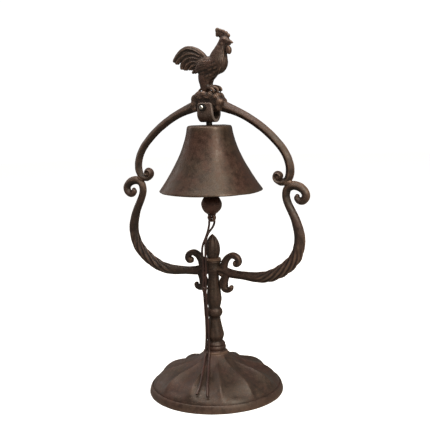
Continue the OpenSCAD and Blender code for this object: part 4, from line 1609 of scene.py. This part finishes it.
@dataclass
class Clapper:
    """Link, shank with its eye, and the cast ball with its drilled knob."""

    ball_radius: float = 10.3
    ball_height: float = 188.0
    knob_radius: float = 4.5
    hole_height: float = 174.9
    hole_radius: float = 1.55

    def build(self) -> None:
        """Makes the link, the shank and the ball."""
        low, high = box_mm("clapper_link")
        wire = 1.1
        bm = bmesh.new()
        centre = (low[2] + high[2]) / 2
        wire_ring(bm, (0, 0, centre), (1, 0, 0), (high[2] - low[2]) / 2 - wire, wire)
        place_piece(bm, "link", DARK_STEEL, Body.LINK, ["clapper_link"], sharp_deg=60)
        self.shank()
        self.ball()

    def shank(self) -> None:
        """Makes the shank and the eye at its top."""
        low, high = box_mm("clapper_rod")
        ring, wire = 4.2, 1.3
        eye = high[2] - ring - wire
        foot = low[2]
        bm = bmesh.new()
        wire_ring(bm, (0, 0, eye), (0, 1, 0), ring, wire)
        top = eye - ring
        outline = [(1.7, foot), (1.75, foot + 12), (1.65, top - 5), (1.8, top - 2), (2.2, top - 0.2)]
        spun(bm, curve(outline, 4), 32)
        roughen(bm, 0.08, 2.5, 4.1)
        place_piece(bm, "shank", BALL_IRON, Body.CLAPPER, ["clapper_rod"], relief_rounds=4, sharp_deg=50)

    def ball(self) -> None:
        """Melts the ball, its parting seam and the drilled knob into one casting."""
        bm = bmesh.new()
        ball(bm, (0, 0, self.ball_height), (self.ball_radius - 0.15,) * 3, fineness=64)
        seam, middle = self.ball_radius, self.ball_height
        ridge = [(-1.5, -0.7), (-0.1, -0.25), (0, 0), (-0.1, 0.25), (-1.5, 0.7), (-1.5, -0.7)]
        spun(bm, [(seam + r, middle + z) for r, z in ridge], 96)
        reach, inner = self.knob_radius, self.hole_radius
        rim = [
            (inner + 0.5, -2.15), (reach - 1.1, -2.05), (reach - 0.3, -1.3), (reach, 0), (reach - 0.3, 1.3),
            (reach - 1.1, 2.05), (inner + 0.5, 2.15), (inner, 1.5), (inner, -1.5), (inner + 0.5, -2.15),
        ]
        spun(bm, rim, 64, axis=(0, -1, 0), at=(0, 0, self.hole_height))
        ball(bm, (0, 0, 178.2), (4.6, 2.6, 1.6))
        bm = fused(bm, "ball_work", 0.4, 3)
        roughen(bm, 0.3, 5.0, 14.6)
        roughen(bm, 0.1, 1.6, 15.2)
        place_piece(bm, "ball", BALL_IRON, Body.CLAPPER, ["clapper_ball"], relief_rounds=16, sharp_deg=70)


def main() -> None:
    """Builds the studio and every sub-assembly in order."""
    logging.basicConfig(level=logging.INFO, format="%(message)s")
    cast_group()
    steel_group()
    leather_group()
    assemblies = (
        Studio(), Lace(), Base(), Stem(), LyreHalf(Side.LEFT), LyreHalf(Side.RIGHT),
        Crown(), Cockerel(), Pivot(), Bell(), Clapper(),
    )
    for assembly in assemblies:
        assembly.build()
        log.info("%s is built", type(assembly).__name__)


if __name__ == "__main__":
    main()
